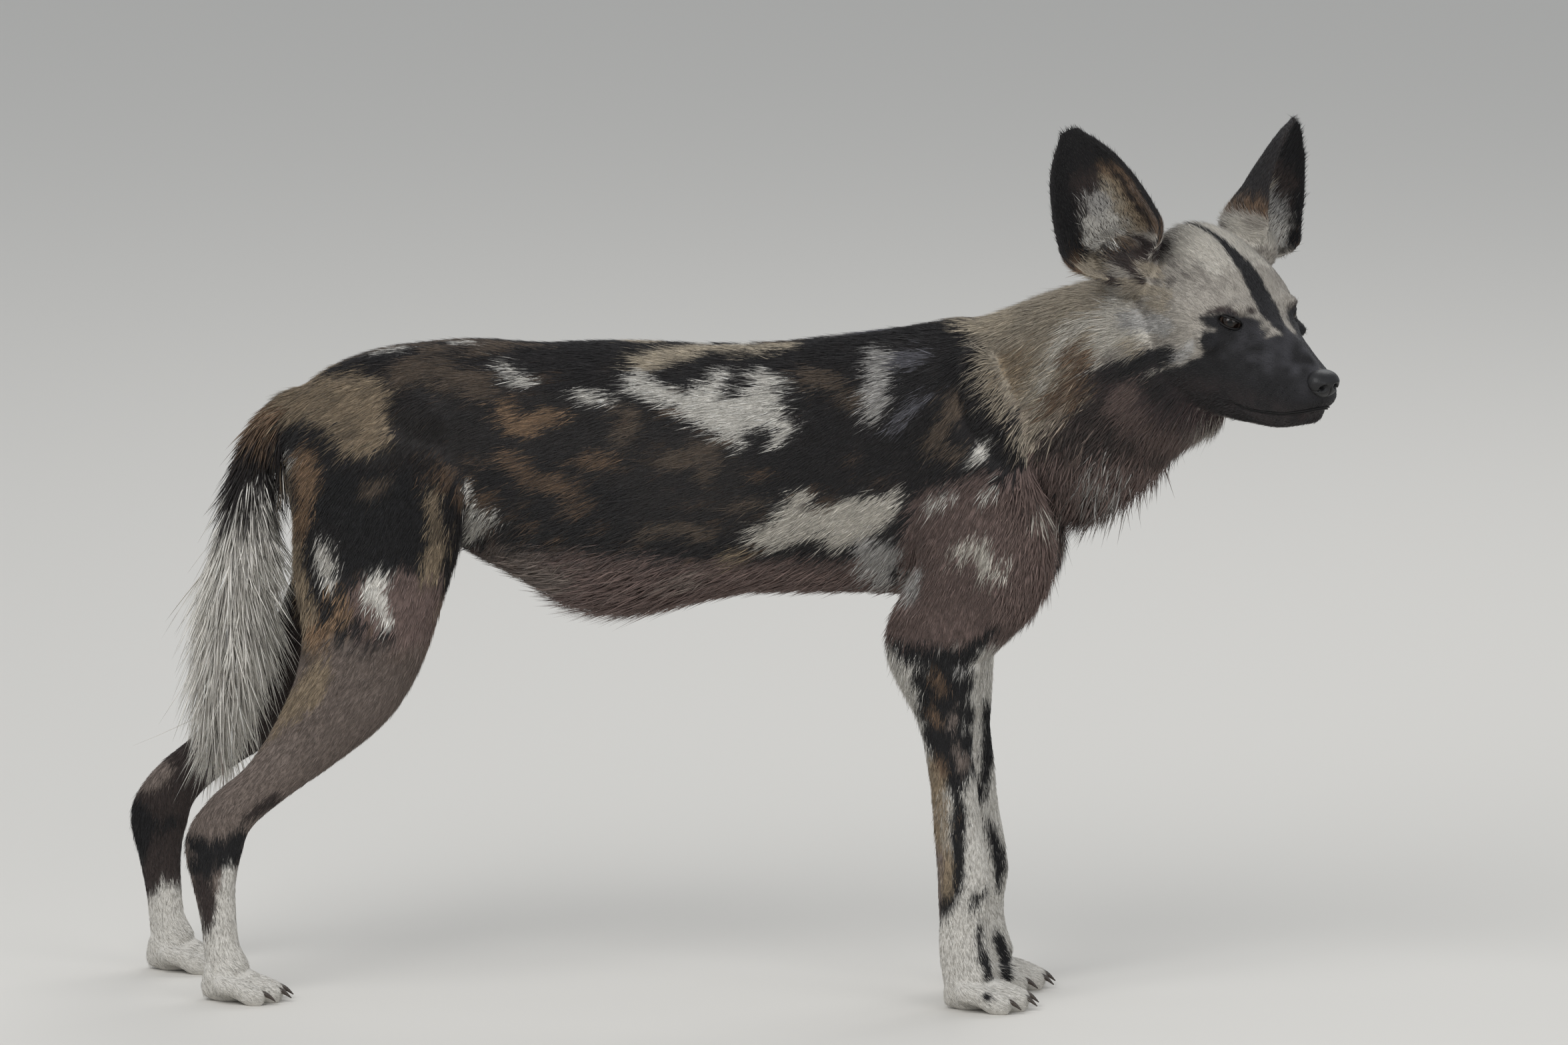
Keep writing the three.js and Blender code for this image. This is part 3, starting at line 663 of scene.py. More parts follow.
def crease_mouth(points):
    """A crease along the line of the mouth, with a low swell below it, as moves of the skin."""
    q = to_head(points)
    line = np.array(MOUTH_LINE, float)[::-1]
    height = np.interp(q[:, 0], line[:, 0], line[:, 1])
    on = smooth_step(10, 22, q[:, 0]) * (np.abs(q[:, 1]) > 6)
    dip = 2.6 * np.exp(-((q[:, 2] - height) / 2.0) ** 2) * on
    fold = 1.2 * np.exp(-((q[:, 2] - height + 8) / 5.0) ** 2) * on
    q[:, 1] -= np.sign(q[:, 1]) * (dip - fold)
    return from_head(q)


# ---- markings

# The side plane that the patches are given in is seen so many degrees from the front and from above.
SEEN_FROM_FRONT = 5
SEEN_FROM_ABOVE = 10

# The coat's colours in sRGB, as they are in even light.
PELT = {
    "black": "#161517", "dark_brown": "#3a302d", "brown": "#75635d", "grey_brown": "#857870",
    "shank": "#7f726a", "tan": "#988770", "orange_tan": "#8f745a", "brown_tan": "#765f4b",
    "buff": "#a99e8d", "cream_tan": "#bfb29d", "cream": "#cfc9be", "cream_grey": "#b3b0ac",
    "blue_grey": "#66656b", "white": "#dedad2", "brindle": "#292524", "brindle_tan": "#5f5246",
    "red_brown": "#4f4140",
}
PELT = {name: linear(colour) for name, colour in PELT.items()}

# Patches: a colour, how ragged their edge is, and for each a chain of discs (right, up, radius) in the
# side plane that its stretches join.
FLANK_MARKS = [
    ("brown", 6, [(-244, 421, 19.6), (-192, 401, 39.3), (-126, 395, 42.6), (-61, 388, 42.6), (5, 388, 39.3),
        (70, 395, 36), (136, 395, 29.5)]),
    ("grey_brown", 8, [(-224, 434, 11.8), (-192, 421, 17), (-152, 408, 15.7), (-205, 401, 17)]),
    ("brown", 5, [(201, 480, 19.6), (234, 493, 19.6), (267, 493, 19.6), (267, 454, 39.3), (214, 434, 45.8),
        (201, 388, 32.7), (240, 388, 32.7)]),
    ("brindle", 8, [(-349, 559, 39.3), (-296, 585, 39.3), (-257, 559, 39.3), (-192, 559, 39.3),
        (-126, 545, 39.3), (-61, 526, 32.7), (5, 519, 26.2), (-61, 480, 32.7), (5, 480, 26.2)]),
    ("tan", 9, [(-457, 572, 17), (-434, 585, 19.6), (-408, 591, 19.6), (-382, 578, 23.6), (-362, 559, 23.6)],
        [(-382, 601, 10.5), (-369, 598, 17), (-349, 585, 21), (-346, 552, 15.7)]),
    ("brindle_tan", 9, [(-316, 611, 9.2), (-296, 618, 13.1), (-277, 611, 15.7), (-257, 601, 13.1),
        (-234, 598, 10.5)]),
    ("brindle_tan", 8, [(-290, 634, 5.2), (-257, 631, 6.5), (-231, 636, 7.9), (-198, 642, 5.9),
        (-159, 646, 3.9)]),
    ("orange_tan", 7, [(-215, 578, 7.9), (-205, 565, 10.5), (-192, 557, 9.2), (-175, 566, 7.9),
        (-162, 566, 5.2)]),
    ("brown_tan", 8, [(-211, 529, 9.2), (-198, 516, 11.8), (-185, 506, 11.8), (-166, 501, 9.2),
        (-152, 496, 6.5)], [(-159, 526, 5.2), (-133, 527, 6.5), (-107, 526, 5.2)]),
    ("cream_tan", 7, [(-84, 621, 5.2), (-61, 623, 7.9), (-41, 629, 8.5), (-21, 637, 7.2), (5, 640, 6.5),
        (37, 637, 5.9), (70, 642, 3.9)]),
    ("brindle_tan", 8, [(-61, 526, 7.9), (-35, 529, 9.8), (-8, 534, 9.2), (-18, 509, 8.5)], [(-107, 578, 5.2),
        (-87, 568, 6.5), (-100, 545, 6.5)], [(11, 479, 7.9), (31, 485, 6.5)], [(-71, 455, 6.5), (-41, 462, 7.9),
        (-18, 454, 7.9)]),
    ("tan", 7, [(5, 435, 6.5), (21, 433, 7.9)]),
    ("brindle_tan", 8, [(64, 611, 3.9), (106, 604, 7.9), (119, 591, 9.2), (129, 578, 6.5)], [(218, 591, 7.9),
        (221, 575, 6.5), (204, 542, 7.9), (227, 529, 5.9)]),
    ("white", 4, [(-84, 602, 11.1), (-71, 595, 8.5), (-54, 586, 8.5), (-38, 577, 11.1), (-20, 578, 14.4),
        (-10, 595, 13.1), (1, 608, 7.2)], [(-20, 575, 13.1), (-5, 568, 17), (7, 555, 10.5), (15, 544, 5.9)],
        [(-5, 568, 14.4), (18, 573, 16.4), (37, 577, 15.7), (44, 595, 13.1), (36, 606, 6.5), (54, 603, 7.2)],
        [(37, 577, 13.1), (54, 566, 10.5), (65, 559, 5.2), (54, 548, 3.9), (49, 538, 2.6)]),
    ("white", 3, [(-147, 593, 2.6), (-136, 589, 5.2), (-123, 585, 4.6), (-109, 583, 2.6)], [(-219, 623, 2),
        (-213, 614, 3.9), (-203, 605, 5.9), (-192, 602, 3.9)]),
    ("white", 4, [(-341, 636, 3.9), (-326, 639, 7.2), (-313, 638, 3.9)], [(-273, 648, 3.9), (-257, 646, 5.9),
        (-248, 641, 3.9)]),
    ("cream_grey", 6, [(152, 629, 7.9), (152, 611, 11.8), (149, 595, 13.1), (146, 578, 9.8), (147, 566, 5.2)]),
    ("blue_grey", 8, [(175, 621, 9.2), (191, 627, 6.5)], [(165, 559, 6.5), (180, 577, 7.9), (191, 585, 5.2)]),
    ("white", 3, [(242, 528, 3.9), (248, 534, 6.5), (255, 542, 4.6)]),
    ("cream", 5, [(28, 455, 6.5), (47, 451, 10.5), (64, 467, 14.4), (73, 483, 11.8), (79, 492, 7.2)],
        [(64, 460, 14.4), (93, 468, 16.4), (111, 457, 15.7), (119, 477, 13.1), (129, 485, 7.9)],
        [(111, 464, 15.7), (132, 464, 15.7), (149, 475, 13.1), (163, 488, 7.9), (166, 498, 3.9)]),
    ("cream_grey", 8, [(139, 441, 13.1), (150, 421, 15.7), (161, 439, 9.2), (154, 403, 9.2)]),
    ("white", 4, [(200, 484, 4.6), (210, 490, 5.9), (223, 492, 3.3)], [(252, 493, 5.2), (262, 502, 3.9)]),
    ("cream", 4, [(222, 437, 5.9), (235, 441, 8.5), (249, 438, 9.8), (252, 424, 7.9), (265, 419, 7.2),
        (280, 421, 6.5), (296, 428, 7.2), (306, 441, 5.9), (314, 454, 5.9), (318, 466, 6.5), (303, 476, 5.9)]),
    ("cream_grey", 5, [(182, 416, 6.5), (180, 398, 7.2), (179, 380, 4.6)]),
    ("cream_grey", 4, [(263, 380, 5.9), (260, 371, 3.9)]),
    ("grey_brown", 7, [(-48, 409, 5.9), (-31, 412, 7.2), (-21, 411, 3.9)]),
    ("white", 3, [(-255, 500, 2.6), (-251, 483, 5.9), (-245, 464, 9.2), (-252, 451, 5.9)], [(-244, 470, 5.2),
        (-232, 472, 3.3), (-224, 467, 2)]),
]
NECK_MARKS = [
    ("buff", 10, [(252, 657, 14.4), (270, 637, 22.3), (293, 650, 32.7), (306, 611, 32.7), (332, 657, 39.3),
        (365, 670, 39.3), (391, 650, 32.7)], [(267, 611, 17), (286, 585, 21), (306, 559, 17),
        (293, 552, 13.1)]),
    ("cream_tan", 6, [(231, 659, 5.2), (247, 657, 7.9), (267, 659, 9.2), (286, 673, 6.5)]),
    ("tan", 8, [(276, 624, 11.8), (286, 604, 10.5), (296, 637, 7.9)]),
    ("brown_tan", 8, [(339, 637, 13.1), (349, 621, 17), (342, 595, 15.7), (322, 585, 9.2)]),
    ("dark_brown", 9, [(371, 611, 15.7), (391, 591, 22.3), (398, 565, 32.7), (365, 559, 26.2), (339, 559, 14.4),
        (424, 585, 39.3), (457, 572, 39.3), (483, 559, 19.6)], [(316, 549, 10.5), (332, 545, 13.1)]),
    ("brown", 8, [(306, 506, 26.2), (345, 513, 29.5), (385, 500, 32.7), (411, 513, 29.5), (434, 506, 22.9),
        (358, 473, 26.2)]),
    ("cream", 5, [(340, 659, 7.9), (357, 663, 6.5), (331, 645, 7.2), (323, 629, 6.5), (316, 611, 5.2),
        (312, 595, 3.3)], [(381, 666, 6.5), (371, 658, 7.2), (373, 646, 7.9), (367, 635, 4.6),
        (365, 623, 2.6)]),
    ("cream_grey", 3, [(352, 527, 2.6), (356, 514, 3.3), (359, 496, 4.6), (366, 482, 2)], [(366, 531, 1.6),
        (377, 519, 3.3), (388, 503, 5.9), (396, 490, 3.9), (402, 476, 2)], [(371, 494, 1.6), (377, 483, 2.6),
        (381, 467, 2), (383, 454, 1.3)]),
    ("brown", 8, [(306, 446, 22), (300, 420, 24), (288, 400, 24), (275, 380, 20)]),
]
THIGH_MARKS = [
    ("tan", 7, [(-434, 526, 6.5), (-437, 493, 7.9), (-433, 460, 10.5), (-427, 428, 13.1), (-420, 395, 13.1),
        (-416, 362, 13.1), (-408, 333, 15.7)]),
    ("orange_tan", 7, [(-413, 532, 11.8), (-409, 509, 13.1), (-412, 487, 10.5), (-416, 464, 9.2)]),
    ("white", 4, [(-433, 531, 4.6), (-427, 526, 3.9)]),
    ("black", 6, [(-395, 480, 14.4), (-369, 493, 23.6), (-323, 490, 29.5), (-349, 457, 29.5), (-310, 454, 26.2),
        (-365, 428, 17), (-323, 429, 14.4)]),
    ("brindle_tan", 6, [(-350, 496, 5.9), (-334, 505, 5.2)]),
    ("tan", 7, [(-289, 490, 7.9), (-283, 464, 7.9), (-289, 434, 9.8), (-293, 408, 10.5), (-296, 385, 6.5)]),
    ("brown", 8, [(-349, 388, 23.6), (-323, 392, 27.5), (-296, 395, 15.7), (-329, 352, 26.2), (-306, 333, 17),
        (-349, 343, 17)]),
    ("orange_tan", 7, [(-388, 398, 6.5), (-375, 379, 9.2), (-403, 356, 9.2), (-395, 333, 10.5)]),
    ("black", 6, [(-388, 388, 4.6), (-393, 372, 5.2)]),
    ("black", 7, [(-369, 339, 7.9), (-349, 346, 10.5), (-332, 349, 5.2)]),
    ("white", 3, [(-400, 449, 3.3), (-396, 439, 7.2), (-392, 424, 9.2), (-389, 409, 5.9), (-387, 400, 2.6)],
        [(-328, 417, 2.6), (-341, 408, 7.9), (-348, 396, 9.8), (-339, 380, 5.9), (-331, 365, 3.9)]),
]
RIGHT_HIND_MARKS = [
    ("shank", 9, [(-323, 316, 13.1), (-362, 297, 23.6), (-401, 270, 30.1), (-441, 241, 27.5), (-473, 215, 23.6),
        (-499, 189, 19.6), (-519, 176, 13.1)]),
    ("tan", 8, [(-401, 316, 13.1), (-421, 290, 13.1), (-447, 264, 10.5), (-473, 241, 7.9)]),
    ("grey_brown", 7, [(-450, 239, 6.5), (-437, 243, 9.2), (-433, 231, 7.9), (-446, 226, 5.9)]),
    ("dark_brown", 7, [(-472, 176, 5.2), (-457, 185, 7.9), (-444, 195, 5.9)]),
    ("black", 4, [(-530, 154, 7.9), (-511, 140, 13.1), (-493, 143, 14.4), (-479, 158, 7.9), (-486, 130, 6.5),
        (-526, 126, 9.2), (-511, 120, 5.9)]),
    ("dark_brown", 4, [(-520, 110, 7.9), (-513, 94, 9.2), (-509, 74, 7.2), (-516, 60, 5.2)]),
    ("white", 3, [(-490, 121, 7.9), (-492, 97, 11.1), (-493, 61, 14.4), (-498, 28, 17), (-486, 2, 13.1),
        (-467, -5, 13.1), (-519, 35, 6.5)]),
]
LEFT_HIND_MARKS = [
    ("dark_brown", 6, [(-434, 362, 13.1), (-454, 323, 15.7), (-480, 284, 17), (-513, 251, 17),
        (-545, 225, 19.6), (-575, 198, 17)]),
    ("grey_brown", 6, [(-562, 218, 9.2), (-585, 202, 6.5)]),
    ("black", 5, [(-591, 182, 10.5), (-575, 166, 13.1), (-588, 133, 13.1), (-591, 113, 7.9), (-552, 169, 7.9)]),
    ("dark_brown", 5, [(-558, 146, 15.7), (-568, 120, 17), (-585, 97, 7.9)]),
    ("white", 4, [(-553, 97, 10.5), (-560, 81, 14.4), (-564, 54, 17), (-566, 28, 18.3), (-552, 9, 15.7),
        (-535, 5, 10.5)]),
]
RIGHT_FORE_MARKS = [
    ("brown", 6, [(197, 365, 25.2), (230, 374, 29.3), (255, 382, 21.1)]),
    ("black", 5, [(155, 347, 3.9), (169, 340, 9.6), (189, 336, 11.3), (210, 333, 11.3), (230, 335, 9.6),
        (246, 349, 6.3), (261, 361, 4.3)]),
    ("black", 4, [(189, 312, 12.1), (205, 308, 18.8), (223, 308, 19.7)], [(199, 285, 15.9), (214, 279, 20.6),
        (227, 279, 16.8)], [(205, 257, 16.8), (218, 249, 20.6), (229, 251, 14.0)], [(210, 232, 12.1),
        (223, 226, 18.8), (233, 226, 11.1)]),
    ("black", 3, [(218, 214, 8.8), (224, 201, 5.5), (226, 185, 6.3), (226, 174, 10.4), (223, 156, 6.3),
        (224, 140, 6.3), (224, 111, 6.8)], [(226, 162, 6.3), (225, 142, 7.6), (224, 117, 7.6), (219, 101, 8.8),
        (211, 89, 8.8), (208, 78, 5.5)]),
    ("brown_tan", 4, [(202, 316, 4.7), (209, 302, 5.5)], [(198, 283, 5.1), (205, 270, 4.7)]),
    ("grey_brown", 3, [(222, 272, 4.3), (218, 265, 3.1)]),
    ("grey_brown", 4, [(224, 240, 5.1), (229, 230, 6.8), (230, 223, 4.3)]),
    ("cream_grey", 2, [(221, 317, 2.2), (225, 321, 2.2), (229, 317, 2.2)]),
    ("brown_tan", 3, [(205, 230, 4.3), (210, 220, 4.3)]),
    ("brown_tan", 2, [(225, 177, 3.5)]),
    ("white", 4, [(155, 342, 2.7), (164, 329, 5.5), (175, 310, 6.3), (182, 292, 4.3)]),
    ("tan", 5, [(196, 226, 3.9), (202, 210, 9.6), (205, 189, 12.1), (207, 164, 12.9), (209, 140, 11.3),
        (210, 111, 10.4)], [(206, 166, 10.4), (209, 142, 8.8), (209, 117, 6.3)]),
    ("grey_brown", 5, [(204, 138, 4.7), (203, 109, 4.7), (204, 84, 3.9)]),
    ("black", 3, [(234, 86, 3.9), (243, 94, 6.3), (251, 101, 3.9)], [(247, 70, 4.7), (246, 53, 4.3),
        (251, 35, 4.3), (255, 17, 4.7)]),
    ("black", 2, [(254, -1, 4.3)]),
]
LEFT_FORE_MARKS = [
    ("black", 4, [(256, 283, 6.3), (259, 263, 8.8), (257, 242, 8.8), (255, 226, 6.8), (251, 210, 4.7),
        (249, 193, 3.5)], [(254, 170, 3.1), (260, 156, 5.5), (266, 140, 6.3), (267, 121, 5.5), (265, 105, 3.9)],
        [(264, 60, 3.9), (270, 39, 6.8), (274, 19, 5.9)]),
    ("brown", 6, [(259, 378, 17), (255, 390, 21.1)]),
]

# On the head, as x, z and radius seen from the side in the head's own frame.
HEAD_PATCHES = [
    ("cream", 7, [(-112, -20, 16), (-96, -34, 14), (-74, -34, 10)]),
    ("cream", 6, [(-94, 56, 11), (-72, 54, 11), (-50, 50, 8), (-34, 42, 6)]),
    ("dark_brown", 6, [(-120, 36, 10), (-106, 36, 9), (-93, 42, 6)]),
    ("dark_brown", 5, [(-128, 12, 7), (-108, 12, 5), (-92, 13, 4)]),
    ("black", 4, [(103, -57, 16), (101, -34, 19), (98, -50, 27), (81, -54, 36), (58, -52, 42), (30, -60, 40),
        (8, -68, 36), (-15, -76, 29), (-34, -80, 22)]),
    ("black", 3, [(81, -18, 12), (67, -17, 15), (53, -17, 17), (36, -22, 18), (20, -26, 19), (6, -35, 13),
        (-5, -45, 10)]),
    ("black", 4, [(-43, -86, 21), (-67, -86, 18), (-80, -80, 13), (-92, -76, 9)]),
    ("black", 3, [(-41, -43, 10), (-55, -53, 10), (-74, -63, 7), (-98, -72, 4), (-108, -69, 2)]),
    ("red_brown", 6, [(-112, -92, 14), (-84, -98, 14), (-56, -106, 12), (-30, -108, 10)]),
    ("dark_brown", 3, [(-12, 8, 3), (-6, 11, 4.5), (2, 12, 5), (9, 11, 4.5)]),
    ("black", 2, [(-15, 1, 3), (-9, 1, 5), (-3, 1.5, 8), (4, 1.5, 9.5), (12, 0, 10), (19, -3, 10),
        (27, -8, 10)]),
    ("black", 3, [(-1, -15, 7), (8, -14, 10), (21, -15, 14)]),
    ("cream_grey", 2, [(-29, -45, 5), (-22, -35, 5), (-18, -24, 4)]),
]
# The same from the crown down the cheek of the right side, in the side plane.
CHEEK_MARKS = [
    ("brown", 6, [(395, 594, 12), (384, 582, 14), (404, 566, 14), (426, 552, 14), (456, 548, 10)]),
    ("cream", 6, [(384, 680, 7), (376, 668, 10), (372, 656, 10), (373, 644, 9), (368, 632, 6), (365, 621, 3)]),
    ("cream_tan", 5, [(396, 640, 8), (402, 630, 6)]),
    ("cream_grey", 8, [(394, 664, 8), (408, 660, 9), (422, 654, 8)]),
    ("buff", 9, [(396, 694, 10), (410, 688, 11), (424, 682, 10)], [(402, 712, 7), (414, 706, 8)]),
    ("black", 3, [(408, 628, 6), (396, 621, 4), (384, 621, 2.5), (374, 622, 1.5)]),
    ("dark_brown", 6, [(397, 751, 6), (403, 736, 9), (415, 731, 8), (427, 735, 5)]),
    ("dark_brown", 5, [(391, 723, 6), (395, 710, 5), (405, 700, 3.5)]),
]
# On the ears: a colour, from and to what share of the cup's angle, and from and to what height.
EAR_PATCHES = [
    ("dark_brown", -1.2, 1.2, 0.0, 0.9), ("brown_tan", 0.25, 0.85, 0.0, 0.72), ("tan", 0.2, 0.42, 0.08, 0.6),
    ("black", 0.44, 0.56, 0.1, 0.7), ("buff", 0.08, 0.26, 0.1, 0.56), ("grey_brown", 0.66, 0.76, 0.2, 0.5),
    ("white", -0.4, 0.12, 0.02, 0.38), ("cream_grey", -0.3, 0.14, 0.34, 0.48), ("black", -1.2, -0.4, 0.1, 1.2),
    ("black", -1.2, 1.2, 0.68, 1.3), ("black", 0.84, 1.3, 0.1, 1.2), ("brown_tan", -1.2, -0.62, -0.2, 0.18),
]
# The stripe of the head's middle line: its places along the head and its half-widths there.
STRIPE = ([-110, -81, -64, -45, -30, -5, 16, 31, 44, 56, 68], [2.2, 2.8, 4, 6.8, 9, 11.5, 12, 7.8, 5, 8, 18])


def lattice(points, size, seed):
    """Smooth noise between -1 and 1: random values at the corners of a lattice, eased between."""
    place = points / size + 1000.0
    cell = np.floor(place).astype(np.int64)
    u = place - cell
    u = u * u * (3 - 2 * u)
    total = np.zeros(len(points))
    for corner in range(8):
        bits = np.array([corner & 1, corner >> 1 & 1, corner >> 2 & 1])
        k = cell + bits
        drawn = k[:, 0] * 73856093 ^ k[:, 1] * 19349663 ^ k[:, 2] * 83492791 ^ seed * 2654435761
        drawn = drawn & 0xFFFFFFFF
        drawn = (drawn ^ (drawn >> 15)) * 2246822519 & 0xFFFFFFFF
        drawn = (drawn ^ (drawn >> 13)) * 3266489917 & 0xFFFFFFFF
        total += ((drawn ^ (drawn >> 16)) / 2**31 - 1) * np.where(bits, u, 1 - u).prod(1)
    return total


def laid(under, over, share):
    """A colour with another laid over it: under * (1 - share) + over * share. A name is one of the pelt's."""
    over = PELT[over] if isinstance(over, str) else over
    return under * (1 - share[:, None]) + over * share[:, None]


def chain_share(right, up, chain, ragged, noise, soft=2.0):
    """How far points lie within a chain of discs: the distance to each stretch less its radius there."""
    best = np.full(len(right), 1e9)
    for (x0, y0, r0), (x1, y1, r1) in list(zip(chain, chain[1:])) or [(chain[0], chain[0])]:
        dx, dy = x1 - x0, y1 - y0
        s = np.clip(((right - x0) * dx + (up - y0) * dy) / max(dx * dx + dy * dy, 1e-6), 0, 1)
        best = np.minimum(best, np.hypot(right - x0 - s * dx, up - y0 - s * dy) - r0 - s * (r1 - r0))
    return smooth_step(soft, -soft, best + noise * ragged)


def painted(colour, points, patches, where, seed):
    """Lays patches over a colour within where, as seen square to the dog's right side, a little
    from the front and from above, with ragged edges and streaks along the body's hair."""
    turn, dip = math.radians(SEEN_FROM_FRONT), math.radians(SEEN_FROM_ABOVE)
    x, y, z = points.T
    right = x * math.cos(turn) + y * math.sin(turn)
    up = -x * math.sin(turn) * math.sin(dip) + y * math.cos(turn) * math.sin(dip) + z * math.cos(dip)
    broad, fine = lattice(points, 17, seed), lattice(points, 5.5, seed + 1)
    streak = lattice(points * [0.3, 1, 1], 4.5, seed + 2)
    noise = 0.65 * broad + 0.35 * fine + 0.45 * streak
    thinned = 1 - 0.55 * smooth_step(0.0, 0.6, streak + 0.5 * broad)
    for name, ragged, *chains in patches:
        for chain in chains:
            share = chain_share(right, up, chain, ragged, noise) * where
            if "tan" in name or name in ("buff", "brindle"):
                share = share * thinned
            colour = laid(colour, name, share)
    return colour


def coat_colour(points):
    """The coat's colour at places on the skin: the ground of each part, then its patches."""
    x, y, z = points.T
    head, ear, tail = head_share(points), ear_share(points), tail_mask(points)
    right = y < 0
    body = (head < 0.5) & (ear < 0.5) & ~tail
    trunk = body & (z > 300)
    # The left flank shows the same kinds of patches, moved and bent so that the sides differ.
    bend = np.stack([lattice(points, 120, seed) for seed in (5, 6, 7)], 1) * [34, 0, 22]
    flank = np.where(right[:, None], points, points * [1, -1, 1] + [26, 0, -9] + bend)

    colour = np.tile(PELT["black"], (len(points), 1))
    colour = laid(colour, "dark_brown", 0.25 * (lattice(points, 9, 1) * 0.5 + 0.5))
    # Brindle over the flank: brown hairs in streaks among the black ones.
    flecks = smooth_step(0.45, 0.9, lattice(points * [0.4, 1, 1.2], 9, 14) + 0.8 * lattice(points, 34, 15))
    flecks = flecks * smooth_step(640, 600, z) * smooth_step(190, 120, x) * (x > -360)
    colour = laid(colour, "brown_tan", 0.7 * flecks)
    ground = np.tile(PELT["brown"], (len(points), 1))
    belly = laid(ground, "tan", 0.4 * smooth_step(0.0, 0.7, lattice(points * [0.4, 1, 1], 12, 16)))
    colour = laid(colour, belly, smooth_step(425, 395, z) * (x > -330) * (x < 330))
    colour = painted(colour, flank, FLANK_MARKS, trunk, 11)

    neck = ground * 0 + PELT["buff"] * 0.6 + PELT["cream_tan"] * 0.4
    neck = laid(neck, "brown", smooth_step(645, 560, z + 18 * lattice(points, 40, 3)))
    on_neck = smooth_step(-155, -135, (x - 439) * 0.927 + (z - 610) * 0.375)
    on_neck = np.clip(on_neck + 0.35 * lattice(points, 26, 4), 0, 1) * body
    colour = laid(colour, neck, smooth_step(0.4, 0.6, on_neck))
    colour = painted(colour, flank, NECK_MARKS, trunk * (x > 225), 21)
    thigh = smooth_step(330, 380, z) * (body & (x < -205) & (z > 250))
    colour = painted(colour, flank, THIGH_MARKS, thigh, 31)

    # Each leg's outer face has its side's pattern; the left ones' inner face shows past the right ones.
    outer = points * [1, -1, 1] - [1, 0, 0] * left_lead(x, z)[:, None] + [9, 0, 11]
    outer = np.where(right[:, None], points, outer)
    low = body * smooth_step(425, 400, z) * (x > 90) * (x < 400)
    colour = laid(colour, laid(ground, "white", smooth_step(374, 356, z + 8 * lattice(points, 20, 8))), low)
    inner = ~right & (y < 66)
    colour = painted(colour, outer, RIGHT_FORE_MARKS, low * ~inner, 41)
    colour = painted(colour, points, LEFT_FORE_MARKS, low * inner, 42)
    low = body * smooth_step(376, 338, z + 18 * lattice(points, 20, 10)) * (x < -240)
    ground = np.where(right[:, None], PELT["shank"], PELT["dark_brown"])
    colour = laid(colour, laid(ground, "white", smooth_step(95, 70, z + 8 * lattice(points, 16, 9))), low)
    inner = ~right & (y < 88)
    colour = painted(colour, outer, RIGHT_HIND_MARKS, low * ~inner, 51)
    colour = painted(colour, points, LEFT_HIND_MARKS, low * inner, 52)

    # The tail: blackish to its middle, then a white brush, with a brown root.
    t = z + 14 * lattice(points, 15, 61) + 10 * np.sin(np.arctan2(y, x + 475) * 2)
    whip = ground * 0 + PELT["black"] * 0.7 + PELT["dark_brown"] * 0.3
    whip = laid(laid(whip, "white", smooth_step(512, 488, t)), "brown_tan", smooth_step(545, 580, z))
    colour = np.where(tail[:, None], whip, colour)

    ragged = 0.3 * lattice(points, 24, 71) + 0.25 * lattice(points, 7, 79)
    share = smooth_step(0.15, 0.85, head + ragged * (head > 0) * (head < 1))
    colour = laid(colour, head_colour(points), share)
    colour = painted(colour, points, CHEEK_MARKS, right * (ear < 0.3), 91)
    return laid(colour, ear_colour(points), smooth_step(0.25, 0.6, ear))


def head_colour(points):
    """The face: pale cheeks and forehead, a black muzzle that runs to the eyes and up the middle line."""
    q = to_head(points)
    x, y, z = q.T
    broad, fine = lattice(points, 9, 74), lattice(points, 3.5, 75)
    colour = np.tile(PELT["buff"] * 0.5 + PELT["cream_grey"] * 0.5, (len(q), 1))
    # Dark hairs in the pale coat, thickest before the ear.
    flecks = smooth_step(0.0, 0.5, lattice(q * [0.45, 1, 1], 4.5, 77) + 0.35 * broad)
    temple = np.exp(-((x + 70) / 42) ** 2 - ((z - 28) / 26) ** 2)
    colour = laid(colour, "dark_brown", flecks * (0.12 + 0.6 * temple))
    low = smooth_step(-58, -78, z + 6 * lattice(points, 12, 73)) * smooth_step(-40, -62, x + 8 * broad)
    colour = laid(colour, PELT["brown"] * 0.5 + PELT["dark_brown"] * 0.5, low)
    for name, ragged, *chains in HEAD_PATCHES:
        for chain in chains:
            colour = laid(colour, name, chain_share(x, z, chain, ragged, 0.8 * broad + 0.5 * fine, 2.2))
    # The stripe of the middle line: narrow at the crown, broad on the forehead, narrow above the nose.
    wide = np.abs(y + 3) + 1.6 * lattice(points, 6, 72) + 0.8 * fine
    half = np.interp(x, *STRIPE)
    colour = laid(colour, "black", smooth_step(1.6, -1.6, wide - half) * smooth_step(-14, -4, z))
    # The black coat of the muzzle has a painted sheen, blue-grey laid over its top; towards the lips its own colour
    # is brown.
    dark = smooth_step(0.10, 0.03, colour.mean(1))
    top = (smooth_step(-62, -22, z) * smooth_step(-20, 40, x) * (0.5 + 0.7 * broad)).clip(0, 1)
    under = (smooth_step(-46, -72, z) * (0.6 + 0.6 * broad)).clip(0, 1)
    return laid(laid(colour, "blue_grey", 0.30 * dark * top), "red_brown", 0.35 * dark * under)


